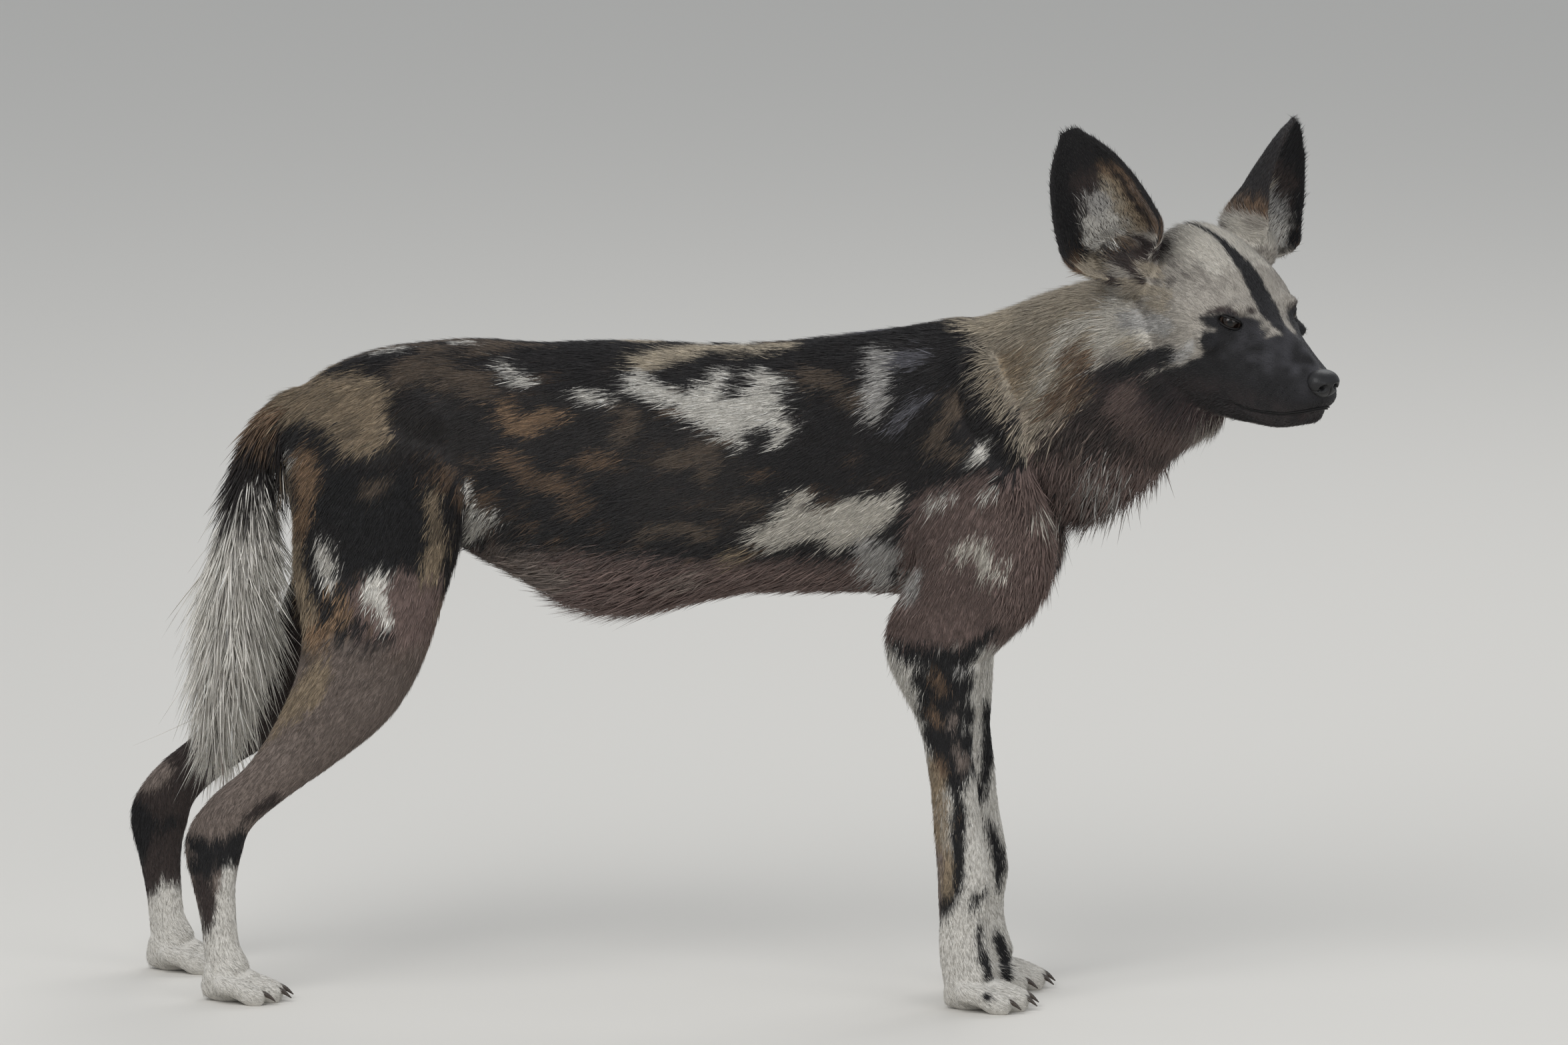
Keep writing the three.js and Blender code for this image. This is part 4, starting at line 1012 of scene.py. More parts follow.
def ear_colour(points):
    """The ears: blackish backs, long pale hair along the inner edge of the cup, tan streaks within."""
    q = to_head(points)
    whole = np.ones((len(q), 1))
    colour = PELT["black"] * whole
    noise, fine = lattice(points, 6, 81), lattice(points * [1, 1, 0.35], 3, 82)
    for side in EARS:
        f = ear_frame(side)
        rel = q - f["root"]
        s, across = rel @ f["up"] / f["length"], rel @ f["across"]
        _, span, radius, depth, _ = ear_section(np.clip(s, 0, 1))
        toward = radius - depth / 2 - rel @ f["open"]
        angle = np.arctan2(across, toward) / np.radians(span)
        angle = (angle if side == "right" else 0.45 - angle) + 0.1 * noise
        within = (PELT["dark_brown"] * 0.6 + PELT["black"] * 0.4) * whole
        for name, a0, a1, s0, s1 in EAR_PATCHES:
            height = s + 0.05 * fine
            share = smooth_step(a0 - 0.08, a0 + 0.08, angle) * smooth_step(a1 + 0.08, a1 - 0.08, angle)
            share = share * smooth_step(s0 - 0.05, s0 + 0.05, height)
            within = laid(within, name, share * smooth_step(s1 + 0.05, s1 - 0.05, height))
        back = (PELT["black"] * 0.8 + PELT["dark_brown"] * 0.2) * whole
        back = laid(back, "brown_tan", smooth_step(0.30, 0.12, s + 0.08 * noise))
        made = laid(back, within, smooth_step(0.6, -0.6, np.hypot(across, toward) - radius))
        colour = np.where(((q[:, 1] > 0) == (side == "left"))[:, None], made, colour)
    return colour


# ---- the coat

# How the coat lies: place, the way that its hair points, its length and its lift in degrees.
# Places are given for the right side and hold for the left one too.
BODY_LIE = [
    (-405, -35, 605, -0.9, 0, -0.5, 15, 11), (-350, -75, 570, -0.75, 0, -0.65, 15, 10),
    (-240, 0, 655, -1, 0, -0.05, 16, 9), (0, 0, 652, -1, 0, 0, 17, 9), (200, 0, 680, -1, 0, 0, 18, 9),
    (-200, -80, 540, -0.95, 0, -0.3, 16, 9), (0, -100, 520, -0.95, 0, -0.3, 16, 9),
    (150, -90, 520, -0.85, 0, -0.5, 16, 9), (245, -84, 570, -0.65, 0, -0.75, 16, 9),
    (250, -92, 490, -0.35, 0, -0.95, 15, 9), (200, -80, 430, -0.45, 0, -0.9, 17, 12),
    (-90, 0, 385, -0.9, 0, -0.35, 44, 15), (60, -30, 405, -0.9, 0, -0.4, 26, 13),
    (-200, -20, 425, -0.95, 0, -0.2, 26, 12), (330, 0, 470, -0.2, 0, -1, 30, 15),
    (310, -45, 540, -0.35, 0, -0.95, 24, 13), (-250, -60, 455, -0.5, 0, -0.85, 17, 10),
    (-340, -100, 540, -0.5, 0, -0.9, 15, 9), (-340, -110, 450, -0.4, 0, -0.92, 14, 9),
    (-415, -80, 450, -0.25, 0, -1, 17, 14), (-285, -85, 420, -0.3, 0, -0.95, 13, 9),
    (300, -60, 625, -0.8, 0, -0.55, 20, 10), (375, -80, 650, -0.75, 0, -0.65, 21, 11),
    (320, 0, 715, -1, 0, -0.35, 21, 11), (415, -30, 745, -0.9, 0.1, -0.4, 18, 11),
    (425, -35, 570, 0.1, 0, -1, 50, 22), (380, -15, 520, 0, 0, -1, 50, 20), (350, -60, 535, -0.2, 0, -1, 32, 12),
    (440, -110, 610, -0.25, 0, -1, 30, 14), (470, -70, 585, 0.15, 0, -1, 44, 20),
    (415, -95, 740, -0.88, 0, -0.35, 15, 9), (415, -100, 690, -0.8, 0, -0.5, 16, 9),
    (395, -100, 655, -0.7, 0, -0.65, 20, 10),
    (225, -100, 385, -0.2, 0, -1, 12, 9), (220, -84, 285, -0.05, 0, -1, 8, 8), (182, -62, 310, -0.3, 0, -1, 14, 15),
    (232, -76, 150, 0, 0, -1, 7, 8), (204, -56, 170, -0.1, 0, -1, 9, 12), (240, -60, 62, 0.15, 0, -1, 7, 9),
    (-370, -112, 310, -0.55, 0, -0.85, 11, 9), (-450, -100, 215, -0.6, 0, -0.8, 9, 8),
    (-505, -95, 150, 0, 0, -1, 8, 8), (-530, -78, 150, -0.1, 0, -1, 10, 12), (-495, -80, 80, 0.05, 0, -1, 7, 8),
    (280, -55, 22, 1, 0, -0.45, 5.5, 9), (235, -55, 20, 0.7, 0, -0.7, 6, 9),
    (-452, -76, 22, 1, 0, -0.45, 5.5, 9), (-495, -76, 20, 0.7, 0, -0.7, 6, 9),
]
TAIL_LIE = [
    (-430, 0, 592, -0.8, 0, -0.6, 22, 12), (-462, 0, 548, -0.25, 0, -1, 38, 13),
    (-446, 0, 505, 0.14, 0, -1, 52, 22), (-504, 0, 490, -0.1, 0, -1, 56, 11),
    (-452, 0, 450, 0.14, 0, -1, 70, 27), (-514, 0, 420, -0.04, 0, -1, 80, 13), (-458, 0, 395, 0.1, 0, -1, 84, 24),
    (-470, 0, 345, 0, 0, -1, 92, 16), (-524, 0, 345, 0, 0, -1, 92, 10), (-507, 0, 275, 0, 0, -1, 84, 7),
]
# The same on the head, in its own frame, from the nose backwards.
HEAD_LIE = [
    (98, 0, -18, -1, 0, 0.1, 2.6, 7), (62, 0, -2, -1, 0, 0.15, 3.2, 7), (22, 0, 18, -1, 0, 0.5, 4.5, 8),
    (-12, 0, 44, -0.9, 0, 0.55, 6, 9), (-50, 0, 63, -1, 0, 0.05, 8.5, 9), (-115, 0, 55, -1, 0, -0.35, 15, 11),
    (88, -28, -48, -1, -0.1, -0.15, 3.0, 8), (50, -36, -50, -1, -0.3, -0.12, 4.2, 8),
    (14, -48, -40, -1, -0.3, -0.25, 5.5, 8), (-40, -74, -30, -0.9, 0, -0.45, 10, 9),
    (-80, -72, -60, -0.75, 0, -0.7, 17, 11), (-118, -50, -30, -0.85, 0, -0.5, 18, 11),
    (92, 0, -76, -0.9, 0, -0.4, 5, 10), (40, 0, -97, -1, 0, -0.25, 8, 9), (0, -30, -98, -0.9, 0, -0.5, 13, 11),
    (-50, -25, -106, -0.5, 0, -0.85, 26, 15), (-100, 0, -102, -0.35, 0, -0.95, 40, 18),
    (-12, -50, 14, -0.8, -0.3, 0.35, 4.5, 8), (8, -34, 17, -0.6, -0.2, 0.75, 4.5, 9),
    (12, -38, -16, -0.7, -0.3, -0.6, 4.0, 8), (-62, -56, 42, -0.9, -0.2, 0.3, 9, 10),
]


def blended(places, table):
    """Table rows for places, each the mean of all rows weighted by one over the distance to the fourth."""
    table = np.array(table, float)
    total, weights = 0.0, 0.0
    for row in table:
        weight = 1 / (((places - row[:3]) ** 2).sum(1) + 25.0) ** 2
        total = total + weight[:, None] * row[3:]
        weights = weights + weight
    return total / weights[:, None]


def folded_lie(places, table):
    """A table's rows blended for places of either side, with the sideways part turned over on the left."""
    left = places[:, 1] > 0
    made = blended(np.stack([places[:, 0], -np.abs(places[:, 1]), places[:, 2]], 1), table)
    made[:, 1] *= np.where(left, -1, 1)
    return made


def lie_of_coat(points):
    """The way that the coat points, its length and its lift at places on the skin."""
    x, y, z = points.T
    body = folded_lie(np.stack([x - left_lead(x, z) * (y > 30), y, z], 1), BODY_LIE)
    body = np.where(tail_mask(points)[:, None], blended(points, TAIL_LIE), body)
    q = to_head(points)
    face = folded_lie(q, HEAD_LIE)
    for side in EARS:
        f = ear_frame(side)
        rel = q - f["root"]
        mine = (q[:, 1] > 0) == (side == "left")
        fan = unit(f["up"] + f["across"] * (rel @ f["across"] / 130)[:, None])
        share = (ear_share(points) * mine)[:, None]
        # Long hair fills the cup's lower half; elsewhere the ear's hair is short.
        s, across = rel @ f["up"] / f["length"], rel @ f["across"] * (1 if side == "right" else -1)
        inside = (rel @ f["open"] > -16) * smooth_step(0.58, 0.4, s) * smooth_step(0.0, 0.1, s)
        deep = inside * np.exp(-((across + 6) / 20) ** 2)
        up_ear = np.hstack([fan, (7.0 + 17 * deep)[:, None], (9.0 + 9 * deep)[:, None]])
        face = face * (1 - share) + up_ear * share
    face[:, :3] = face[:, :3] @ HEAD_AXES.T
    # The neck's hair takes on the head's length and lie well before the head begins.
    eased = smooth_step(-200, -115, along_head(q)) * smooth_step(330, 385, x)
    share = np.maximum(eased, ear_share(points))[:, None]
    made = body * (1 - share) + face * share
    return unit(made[:, :3]), made[:, 3], made[:, 4]


class Skin:
    """The finished skin as arrays: places, normals, triangles, areas and its unwrap."""

    def __init__(self, mesh):
        self.points = points_of(mesh)
        corners = len(mesh.polygons) * 3
        faces, uv = np.empty(corners, np.int32), np.empty(corners * 2, np.float32)
        mesh.loops.foreach_get("vertex_index", faces)
        mesh.uv_layers["OFBake"].uv.foreach_get("vector", uv)
        self.faces, self.uv = faces.reshape(-1, 3), uv.reshape(-1, 3, 2).astype(float)
        a, b, c = (self.points[self.faces[:, k]] for k in range(3))
        cross = np.cross(b - a, c - a)
        self.area = np.linalg.norm(cross, axis=1) / 2
        self.middle = (a + b + c) / 3
        self.normal = unit(sum(np.stack([np.bincount(corner, way, len(self.points)) for way in cross.T], 1)
                               for corner in self.faces.T))

    def scatter(self, per_cm2, seed):
        """Seeded places on the skin: how many a square centimetre carries is given for each triangle.

        The running total of area times number is cut into equal steps, with one draw in each.
        """
        rng = np.random.default_rng(seed)
        running = np.cumsum(self.area * per_cm2 / 100)
        count = int(running[-1])
        draw = (np.arange(count) + rng.random(count)) / count * running[-1]
        face = np.minimum(np.searchsorted(running, draw), len(self.faces) - 1)
        u, v = rng.random((2, count))
        flip = u + v > 1
        u, v = np.where(flip, 1 - u, u), np.where(flip, 1 - v, v)
        share = np.stack([1 - u - v, u, v], 1)
        corners = self.faces[face]
        place, normal, uv = ((values * share[..., None]).sum(1)
                             for values in (self.points[corners], self.normal[corners], self.uv[face]))
        return place, unit(normal), uv


# How far a tuft bends down along its length, and the reach of its own patch in the skin's unwrap.
DROOP = 0.06
TUFT_PATCH = 0.0014


def tuft_arrays(place, normal, uv, way, length, lift, width, thick, rings, rng, colour):
    """Tufts: flat three-sided spikes along the lie of the coat.

    A tuft's middle line is its root + way * length * s - normal * DROOP * length * s^2, its half-width
    is width / 2 * (1 - s^1.7) * (0.85 + 0.6 s), and a ridge runs along its upper face.
    """
    count = len(place)

    def varied(value, amount, least, most):
        """A value for each tuft, made more or less by chance within limits."""
        return value * (1 + amount * rng.normal(0, 1, count)).clip(least, most)

    flat = unit(way - normal * (way * normal).sum(1, keepdims=True))
    turn = rng.normal(0, 0.16, count)
    side = np.cross(normal, flat)
    flat = unit(flat + side * turn[:, None])
    side = np.cross(normal, flat)
    rise = np.radians(varied(lift, 0.35, 0.3, 2.2))[:, None]
    ahead = flat * np.cos(rise) + normal * np.sin(rise)
    above = np.cross(ahead, side)
    length = varied(length, 0.22, 0.5, 1.6)
    width = varied(width, 0.2, 0.6, 1.5)
    sway = rng.normal(0, 0.07, count)
    shares = np.linspace(0, 1, rings + 1)
    corners = rings * 3 + 1
    points = np.empty((count, corners, 3))
    for k, s in enumerate(shares):
        middle = (place - normal * (0.35 * thick)[:, None] + ahead * (length * s)[:, None]
                  - normal * (length * DROOP * s * s)[:, None] + side * (length * sway * s * s)[:, None])
        if k == rings:
            points[:, -1] = middle
            continue
        half = (width / 2 * (1.0 - s**1.7) * (0.85 + 0.6 * s))[:, None]
        deep = (thick * (1 - 0.6 * s))[:, None]
        points[:, 3 * k] = middle - side * half - above * deep * 0.3
        points[:, 3 * k + 1] = middle + above * deep * 0.7
        points[:, 3 * k + 2] = middle + side * half - above * deep * 0.3
    pattern = [(0, 1, 2)]
    for k in range(rings - 1):
        for j in range(3):
            a, b = 3 * k + j, 3 * k + (j + 1) % 3
            pattern += [(a, a + 3, b), (b, a + 3, b + 3)]
    top, tip = 3 * (rings - 1), 3 * rings
    pattern += [(top + j, tip, top + (j + 1) % 3) for j in range(3)]
    faces = (np.array(pattern)[None] + (np.arange(count) * corners)[:, None, None]).reshape(-1, 3)
    # Each tuft is painted darker at its root than at its tip, as painted shade deep in the coat, and each tuft is a
    # little lighter or darker than the next.
    tone = np.exp(rng.normal(0, 0.16, count))[:, None, None]
    rise = np.concatenate([np.repeat(shares[:-1], 3), [1.0]])[None, :, None]
    shade = colour[:, None, :] * tone * (0.80 + 0.32 * rise)
    spread = np.array([[math.cos(a), math.sin(a)] for a in np.linspace(0, 5.6, corners)]) * TUFT_PATCH
    patch = uv[:, None, :] + spread[None]
    return points.reshape(-1, 3), faces, shade.reshape(-1, 3).clip(0, 1), patch.reshape(-1, 2)


def coat_piece(name, slot, material, points, faces, shade, patch):
    """Tufts' arrays as one piece with its colours and its OFBake map."""
    mesh = mesh_of(name, points, faces)
    paint(mesh, shade)
    layer = mesh.uv_layers.new(name="OFBake")
    layer.uv.foreach_set("vector", patch[faces.ravel()].astype(np.float32).ravel())
    return piece(name, mesh, material)


def paint(mesh, colour):
    """Keeps a colour for each point, as the attribute that the coat's materials read."""
    layer = mesh.attributes.new("coat_colour", "FLOAT_COLOR", "POINT")
    rgba = np.hstack([colour, np.ones((len(colour), 1))]).astype(np.float32)
    layer.data.foreach_set("color", rgba.ravel())


# ---- materials


def material(name, **values):
    """A new material and its tree, with values set on its shader's own sockets; _ stands for a space."""
    made = bpy.data.materials.new(name)
    made.use_nodes = True
    shader = next(n for n in made.node_tree.nodes if n.type == "BSDF_PRINCIPLED")
    for key, value in values.items():
        shader.inputs[key.replace("_", " ")].default_value = value
    return made, made.node_tree, shader


def node(tree, kind, links=(), **settings):
    """Adds a node: settings are its own values or its sockets' defaults, links are (input, from socket)."""
    made = tree.nodes.new("ShaderNode" + kind)
    for key, value in settings.items():
        if hasattr(made, key):
            setattr(made, key, value)
        else:
            made.inputs[key.replace("_", " ")].default_value = value
    for socket, source in links:
        tree.links.new(source, made.inputs[socket])
    return made


def coloured_noise(tree, where, scale, detail, dark, light):
    """Noise over the object's own places and the same noise as a colour between two."""
    noise = node(tree, "TexNoise", [("Vector", where)], Scale=scale, Detail=detail)
    ramp = node(tree, "ValToRGB", [("Fac", noise.outputs["Fac"])])
    ramp.color_ramp.elements[0].color = (*dark, 1)
    ramp.color_ramp.elements[1].color = (*light, 1)
    return noise.outputs["Fac"], ramp.outputs["Color"]


def finished(tree, shader, colour, height=None, strength=0.0, distance=0.0):
    """Joins a colour, and a bump of a height in metres where there is one, to the shader."""
    tree.links.new(colour, shader.inputs["Base Color"])
    if height is not None:
        bump = node(tree, "Bump", [("Height", height)], Strength=strength, Distance=distance)
        tree.links.new(bump.outputs["Normal"], shader.inputs["Normal"])


def fur_material(name, hair_mm, rough):
    """Hair or short-haired skin: dry keratin scatters softly and has a faint sheen along its length."""
    made, tree, shader = material(name, Roughness=rough, IOR=1.55, Specular_IOR_Level=0.25,
                                  Sheen_Weight=0.08, Sheen_Roughness=0.5)
    colour = node(tree, "Attribute", attribute_name="coat_colour").outputs["Color"]
    where = node(tree, "TexCoord").outputs["Object"]
    # Fine streaks, one hair wide and several long, break up each tuft's tone.
    stretch = node(tree, "Mapping", [("Vector", where)], Scale=(1, 1, 0.6)).outputs["Vector"]
    streak = node(tree, "TexNoise", [("Vector", stretch)], Scale=1000 / hair_mm, Detail=3.0).outputs["Fac"]
    tone = node(tree, "MapRange", [("Value", streak)], From_Min=0.3, From_Max=0.7, To_Min=0.82, To_Max=1.12)
    mixed = node(tree, "VectorMath", [(0, colour), ("Scale", tone.outputs["Result"])], operation="SCALE")
    finished(tree, shader, mixed.outputs["Vector"], streak, 0.35, 0.0006)
    return made


def leather_material(name, colour, rough, pebble_mm, height_mm, coat=0.0):
    """Bare skin: fine pebbled leather with a mottled tone, moist where it has a clear coat."""
    made, tree, shader = material(name, Roughness=rough, IOR=1.45, Coat_Weight=coat, Coat_Roughness=0.22)
    where = node(tree, "TexCoord").outputs["Object"]
    cells = node(tree, "TexVoronoi", [("Vector", where)], Scale=1000 / pebble_mm)
    base = linear(colour)
    _, speckle = coloured_noise(tree, where, 1000 / (pebble_mm * 4), 4.0, base * 0.55, base * 1.5)
    finished(tree, shader, speckle, cells.outputs["Distance"], 0.8, height_mm * MM)
    return made


def eye_material():
    """A wet eye: a smooth clear cornea over the iris, so the highlight is small and sharp."""
    made, tree, shader = material("wet_cornea_over_brown_iris", Roughness=0.07, IOR=1.376,
                                  Specular_IOR_Level=0.35, Coat_Weight=0.3, Coat_Roughness=0.02)
    finished(tree, shader, node(tree, "Attribute", attribute_name="coat_colour").outputs["Color"])
    return made


def horn_material():
    """Claw horn: dark keratin with growth lines, satin from wear."""
    made, tree, shader = material("dark_claw_horn", Roughness=0.38, IOR=1.55)
    where = node(tree, "TexCoord").outputs["Object"]
    lines, colour = coloured_noise(tree, where, 420.0, 3.0, linear("#1a1512"), linear("#4a3d33"))
    finished(tree, shader, colour, lines, 0.3, 0.0003)
    return made


# ---- eyes, lids, nose, lips, claws and whiskers


def eyeball(sign):
    """An eyeball: a ball turned to the gaze, whose front bulges as a cornea, painted ring by ring.

    The iris is brown with fine spokes round a round pupil, and darkens at its rim.
    """
    gaze, inward, upward = eye_axes(sign)
    polar = np.radians(np.concatenate([np.linspace(0.5, 50, 44), np.linspace(54, 179, 28)]))[:, None]
    angle = round_angles(96)
    radius = EYE_RADIUS - 0.25 + 0.9 * np.exp(-(polar / 0.52) ** 4)
    grid = (radius[..., None] * ball_ways(polar, 96)) @ np.stack([gaze, inward, upward])
    points, faces = closed_surface(grid + eye_centre(sign))
    # How far a place lies off the gaze, in millimetres, with the eye's back put beyond them all.
    off = np.where(polar > 1.5, 20, EYE_RADIUS * np.sin(polar) * np.ones_like(angle)).ravel()
    spokes = (np.sin(angle * 31 + 2 * np.sin(angle * 5)) * 0.5 + np.sin(angle * 67) * 0.3 + 0 * polar).ravel()
    # The iris is its own dark brown painted darker still, as painted shade over the eye.
    colour = linear("#140c07") * (1 + 0.35 * spokes * smooth_step(2.4, 5.0, off))[:, None]
    pupil = np.full(3, 0.0015)
    for over, start, full in ((linear("#1d120a"), 5.2, 3.0), (pupil, 3.1, 2.7), (linear("#120c09"), 6.4, 7.6),
                              (linear("#3a302b"), 8.4, 9.2)):
        colour = laid(colour, over, smooth_step(start, full, off))
    return from_head(points), faces, np.vstack([colour, pupil, colour[-1]]).clip(0, 1)


def lid_rim(sign):
    """The lids: an almond ring whose inner edge rests on the eyeball and whose skirt sinks into the skin.

    The almond is a * cos t across and b * |sin t| up or down, and each ring out is larger and its
    reach from the eye's centre follows a rounded lip.
    """
    gaze, inward, upward = eye_axes(sign)
    t = round_angles(96)
    scale = np.array([0.92, 0.94, 0.98, 1.03, 1.09, 1.16, 1.26, 1.40, 1.35])[:, None]
    reach = np.array([11.7, 12.2, 12.75, 13.25, 13.6, 13.8, 13.7, 12.9, 11.4])[:, None]
    a = 12.4 * scale * np.cos(t)
    high = np.where(np.sin(t) > 0, 4.1, 3.7)
    b = high * (scale + 0.10 * (scale - 0.9)) * np.sign(np.sin(t)) * np.abs(np.sin(t)) ** 0.85
    out = np.sqrt(np.maximum(reach**2 - a * a - b * b, 1.0))
    grid = gaze * out[..., None] + inward * a[..., None] + upward * b[..., None] + eye_centre(sign)
    faces = ring_walls(*grid.shape[:2], closed=True)
    return from_head(grid.reshape(-1, 3)), faces[:, ::-1] if sign > 0 else faces


def nose_pad():
    """The nose leather: a rounded box of a ball, with two nostrils, their side slits and a middle groove.

    A point is the middle + size * sign(d) * |d|^0.86 for a direction d, pushed back by bell curves.
    """
    d = ball_ways(np.linspace(0.02, np.pi - 0.02, 90)[:, None], 128)
    d = np.sign(d) * np.abs(d) ** 0.86 * (np.array(NOSE_SIZE) * [1.0, 0.98, 0.98])
    x, y, z = d[..., 0], d[..., 1], d[..., 2]
    y = y * (1 - 0.16 * smooth_step(0, -12, z))
    front = smooth_step(-2, 5, x)
    aside = np.abs(y) - 8.2
    nostril = 7.5 * np.exp(-(aside / 3.3) ** 2 - ((z + 0.5 + 0.25 * aside) / 2.7) ** 2)
    slit = 4.0 * np.exp(-((z + 3.0 + 0.5 * (np.abs(y) - 10)) / 1.0) ** 2) * smooth_step(8, 10, np.abs(y))
    groove = 1.6 * np.exp(-(y / 0.9) ** 2) * smooth_step(3, -2, z)
    wing = 1.3 * np.exp(-((np.abs(y) - 9) / 5.5) ** 2 - ((z - 4.5) / 2.6) ** 2)
    x = x - front * (np.maximum(nostril, slit) + groove - wing)
    points, faces = closed_surface(np.stack([x, y, z], -1) + np.array(NOSE_AT))
    return from_head(points), faces


def lip_roll(above):
    """A lip: a flattened roll carried along the mouth from one corner round the front to the other."""
    line = np.array(MOUTH_LINE, float)
    x, z = line[:, 0], line[:, 1] + above * 0.8
    y = head_half_width(x, z) - DEPTH["head"] - 2.6
    y[0], x[0] = 6.0, x[0] - 0.5
    half, steps = np.stack([x, y, z], 1), 90
    knots = np.vstack([(half * [1, -1, 1])[::-1], [[x[0] + 0.8, 0, z[0] + 0.4]], half])
    taper = np.sqrt(np.clip(1 - np.abs(np.linspace(-1, 1, steps)) ** 8, 0.02, 1))[:, None]
    points, faces = tube(along(knots, np.linspace(0, 1, steps)), 1.3 * taper, 0.75 * taper, 12)
    return from_head(points), faces


def claws(paw, side, lead):
    """Claws: tapered horn hooks at the toes' tips, each a small limb that bends down to the ground."""
    made = []
    for x, y, c, s, length, r in toes(paw, side, lead):
        rows = [(0.78, 1.15, 1.0), (0.9, 1.12, 1.0), (0.86 + 0.55 * CLAW_LENGTH / length, 0.88, 0.72),
                (0.86 + CLAW_LENGTH / length, 0.42, 0.18)]
        table = [[x + c * t * length, y + s * t * length, r * z, CLAW_RADIUS * w, CLAW_RADIUS * w,
                  CLAW_RADIUS * 0.8 * w] for t, z, w in rows]
        made.append(limb(table, 14, 16, caps=(60, 30)))
    return made


def whiskers():
    """Whiskers: thin bent tapers from the pads of the muzzle, back and down along its side."""
    rng = np.random.default_rng(77)
    s = np.linspace(0, 1, 9)[:, None]
    girth = 0.2 * (1 - 0.85 * s)
    made = []
    for sign in (1, -1):
        for row, k in ((row, k) for row in range(3) for k in range(4)):
            x, z = 92 - 9 * k - 3 * row, -40 - 6 * row
            root = np.array([x, sign * (head_half_width(x, z)[0] - DEPTH["head"]), z])
            way = unit(np.array([-0.35 - 0.14 * k, sign * 0.8, -0.25 - 0.1 * row]) + rng.normal(0, 0.07, 3))
            reach = 16 + 4 * k + rng.normal(0, 2)
            path = root + way * reach * s + np.array([-0.2, 0, -0.3]) * reach * s * s
            made.append(tube(path, girth, -girth, 5))
    points, faces = joined(made)
    return from_head(points), faces


# ---- the dog

# How bright the skin under the coat is beside the coat itself: it is painted darker, as painted shade between the
# hairs.
SKIN_PAINTED_SHADE = 0.8

short_fur = fur_material("short_fur_over_skin", 0.9, 0.78)
tuft_fur = fur_material("coarse_guard_hair", 0.6, 0.72)
black_leather = leather_material("black_nose_leather", "#0e0d0f", 0.5, 1.1, 0.25, coat=0.12)
lip_leather = leather_material("black_lip_skin", "#0d0b0b", 0.7, 0.8, 0.12)
wet_eye = eye_material()
claw_horn = horn_material()

mesh = skin_mesh()
put_points(mesh, crease_mouth(sink_eyes(points_of(mesh))))
holder = in_scene("unwrapped", mesh)
bpy.context.view_layer.objects.active = holder
holder.select_set(True)
mesh.uv_layers.new(name="OFBake")
bpy.ops.object.mode_set(mode="EDIT")
bpy.ops.mesh.select_all(action="SELECT")
bpy.ops.uv.smart_project(angle_limit=math.radians(66), island_margin=0.001)
bpy.ops.object.mode_set(mode="OBJECT")
bpy.data.objects.remove(holder)
# The skin takes the coat's colour, dimmed as painted shade under the tufts.
paint(mesh, coat_colour(points_of(mesh)) * SKIN_PAINTED_SHADE)
skin = piece("skin", mesh, short_fur)
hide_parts(*[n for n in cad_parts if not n.startswith("eye_")])


def small_piece(name, shape, material):
    """Points and faces as one of the dog's small pieces."""
    return piece(name, mesh_of(name, *shape), material)


for side, sign, _, _ in SIDES:
    *shape, colour = eyeball(sign)
    made = small_piece("eyeball_" + side, shape, wet_eye)
    paint(made.data, colour)
    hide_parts("eye_" + side)
    small_piece("eyelids_" + side, lid_rim(sign), lip_leather)
small_piece("nose_pad", nose_pad(), black_leather)
small_piece("lip_upper", lip_roll(1), lip_leather)
small_piece("lip_lower", lip_roll(-1), lip_leather)
small_piece("whiskers", whiskers(), lip_leather)
for side, sign, fore, hind in SIDES:
    hooks = joined(claws(FORE_PAW, sign, fore) + claws(HIND_PAW, sign, hind))
    small_piece("claws_" + side, hooks, claw_horn)

# Where each kind of coat grows, for each of the skin's triangles.
surface = Skin(mesh)
middle = surface.middle
x, y, z = middle.T
head, ear = head_share(middle) > 0.5, ear_share(middle) > 0.35
tail, leg = tail_mask(middle), leg_share(middle) > 0.5
paw = (z < 62) & ~tail
bare = (z < 5) | (np.linalg.norm(to_head(middle) - NOSE_AT, axis=1) < 14)
for sign in (1, -1):
    gaze, inward, upward = eye_axes(sign)
    rel = to_head(middle) - eye_centre(sign)
    in_lids = np.hypot(rel @ inward / 12.2, rel @ upward / 4.8) < 1
    bare |= in_lids & (rel @ gaze > 0) & (np.linalg.norm(rel, axis=1) < 24)
ear = ear & ~bare
leg = leg & ~bare & ~paw & ~tail
torso = ~(bare | head | ear | tail | leg | paw)
shaggy = torso & ((z < 445) & (x < 190) | (x > 270) & (z < 600) & (x + z < 1080))
sleek = torso & ~shaggy

# The sleek coat's parts: name, where it ends behind and in front, tufts a square centimetre, longer by.
SLEEK = [
    ("coat_rump", -999, -320, 25, 1.0), ("coat_thighs", -320, -200, 25, 1.0),
    ("coat_loin", -200, -40, 25, 1.0), ("coat_ribs", -40, 130, 25, 1.0),
    ("coat_shoulder", 130, 280, 25, 1.0), ("coat_neck", 280, 999, 30, 1.08),
]
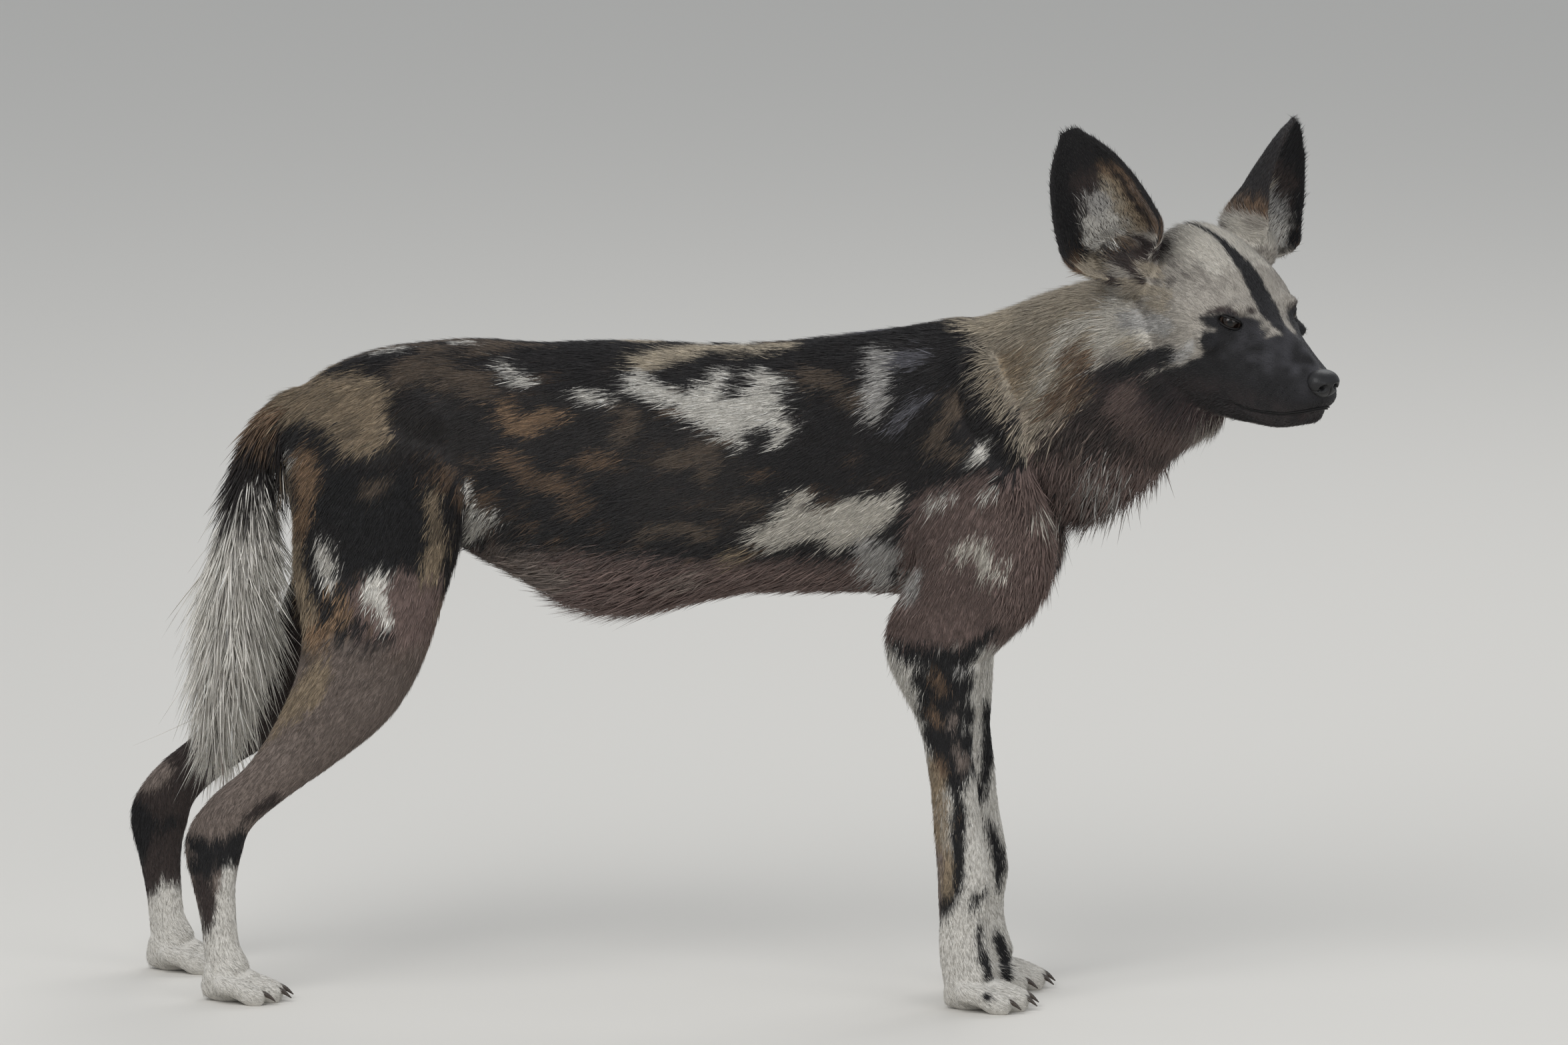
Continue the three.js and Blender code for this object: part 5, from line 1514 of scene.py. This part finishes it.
# Each part: its name, its slot, where it grows, tufts a square centimetre, width and thickness in
# millimetres, rings a tuft, and what its length is multiplied by.
PARTS = [(name, "coat", sleek & (x >= start) & (x < end), per_cm2, 1.45, 0.45, 1, longer)
         for name, start, end, per_cm2, longer in SLEEK] + [
    ("coat_belly", "coat", shaggy & (x < 200), 10, 1.35, 0.45, 2, 1.0),
    ("coat_ruff", "coat", shaggy & (x >= 200), 22, 1.25, 0.42, 2, 1.0),
    ("coat_fore_legs", "leg_fur", leg & (x > 0), 28, 1.25, 0.4, 1, 1.0),
    ("coat_hind_legs", "leg_fur", leg & (x < 0), 28, 1.25, 0.4, 1, 1.0),
    ("coat_paws", "paw_fur", ~bare & paw, 32, 1.1, 0.35, 1, 1.0),
    ("coat_head", "head_fur", head & ~ear & ~bare, 45, 1.0, 0.33, 1, 1.0),
    ("coat_ears", "ear_fur", ear, 30, 1.1, 0.33, 1, 1.0),
    ("coat_tail", "tail_fur", tail, 25, 1.5, 0.55, 3, 1.0),
]
for seed, (name, slot, where, per_cm2, width, thick, rings, longer) in enumerate(PARTS):
    rng = np.random.default_rng(1000 + seed)
    place, normal, uv = surface.scatter(where * float(per_cm2), 2000 + seed)
    way, length, lift = lie_of_coat(place)
    # Neighbouring colours mingle along the hair, so each mark ends in a feathered edge.
    astray = rng.normal(0, 1.2 if "head" in name else 2.4, place.shape)
    astray += way * (length * rng.normal(0.1, 0.3, len(place)))[:, None]
    colour = coat_colour(place + astray)
    # Longer hair grows in coarser tufts.
    coarse = np.clip(length / 15, 0.55, 1.6) ** 0.5
    tufts = tuft_arrays(place, normal, uv, way, length * longer, lift, width * coarse, thick * coarse,
                        rings, rng, colour)
    coat_piece(name, slot, tuft_fur, *tufts)

# ---- floor, light and camera


def studio_floor():
    """A pale matt floor: a flat disc, ring by ring, wide enough to fill the view."""
    reach = np.array([0.0, 2, 6, 15, 40, 90])[:, None] / MM
    angle = round_angles(64)
    grid = np.stack([reach * np.cos(angle), reach * np.sin(angle), 0 * reach * angle], -1) + MIDDLE
    n = angle.shape[1]
    walls = ring_walls(len(reach) - 1, n)[:, ::-1] + n
    fan = np.stack([np.zeros(n, int), n + np.arange(n), n + (np.arange(n) + 1) % n], 1)
    made = in_scene("studio_floor", mesh_of("studio_floor", grid.reshape(-1, 3), np.vstack([walls, fan])))
    floor_paint, _, _ = material("matt_painted_floor", Base_Color=(*linear("#d6d3cd"), 1), Roughness=0.85)
    made.data.materials.append(floor_paint)


def look_turn(way):
    """The turn that points a camera or lamp, which looks down its own -Z, along a way, with Z kept up."""
    way = unit(np.array(way, float))
    return (math.acos(-way[2]), 0.0, math.atan2(-way[0], way[1]))


def lamp(name, at, aim, size, power):
    """A rectangular lamp at a place in metres, turned to its aim."""
    light = bpy.data.lights.new(name, "AREA")
    light.shape, light.size, light.size_y, light.energy = "RECTANGLE", *size, power
    made = in_scene(name, light)
    made.location = at
    made.rotation_euler = look_turn(np.array(aim) - np.array(at))


studio_floor()
world = bpy.context.scene.world or bpy.data.worlds.new("studio")
bpy.context.scene.world = world
world.use_nodes = True
background = next(n for n in world.node_tree.nodes if n.type == "BACKGROUND")
background.inputs["Color"].default_value = (*linear("#e9edf2"), 1)
background.inputs["Strength"].default_value = 0.62
lamp("key", (-1.6, -3.2, 3.6), (0, 0, 0.4), (3.0, 3.0), 120)
lamp("fill", (3.4, -3.0, 2.0), (0.1, 0, 0.4), (3.0, 2.5), 38)
lamp("back", (1.0, 3.0, 3.4), (0, 0, 0.5), (3.0, 2.0), 45)

# A long lens far off, aimed at the middle of the view, which is so many metres wide there.
VIEW_MIDDLE = (54.7, 0.0, 472.3)
VIEW_WIDTH = 1.540
optics = bpy.data.cameras.new("camera")
optics.lens, optics.sensor_width, optics.sensor_fit = 500, 36, "HORIZONTAL"
optics.clip_end = 120
optics.dof.use_dof = False
turn, dip = math.radians(SEEN_FROM_FRONT), math.radians(SEEN_FROM_ABOVE)
toward = np.array([math.sin(turn) * math.cos(dip), -math.cos(turn) * math.cos(dip), math.sin(dip)])
camera = in_scene("camera", optics)
distance = VIEW_WIDTH * optics.lens / optics.sensor_width
camera.location = (np.array(VIEW_MIDDLE) - MIDDLE) * MM + toward * distance
camera.rotation_euler = look_turn(-toward)
bpy.context.scene.camera = camera
bpy.context.scene.view_settings.view_transform = "Standard"
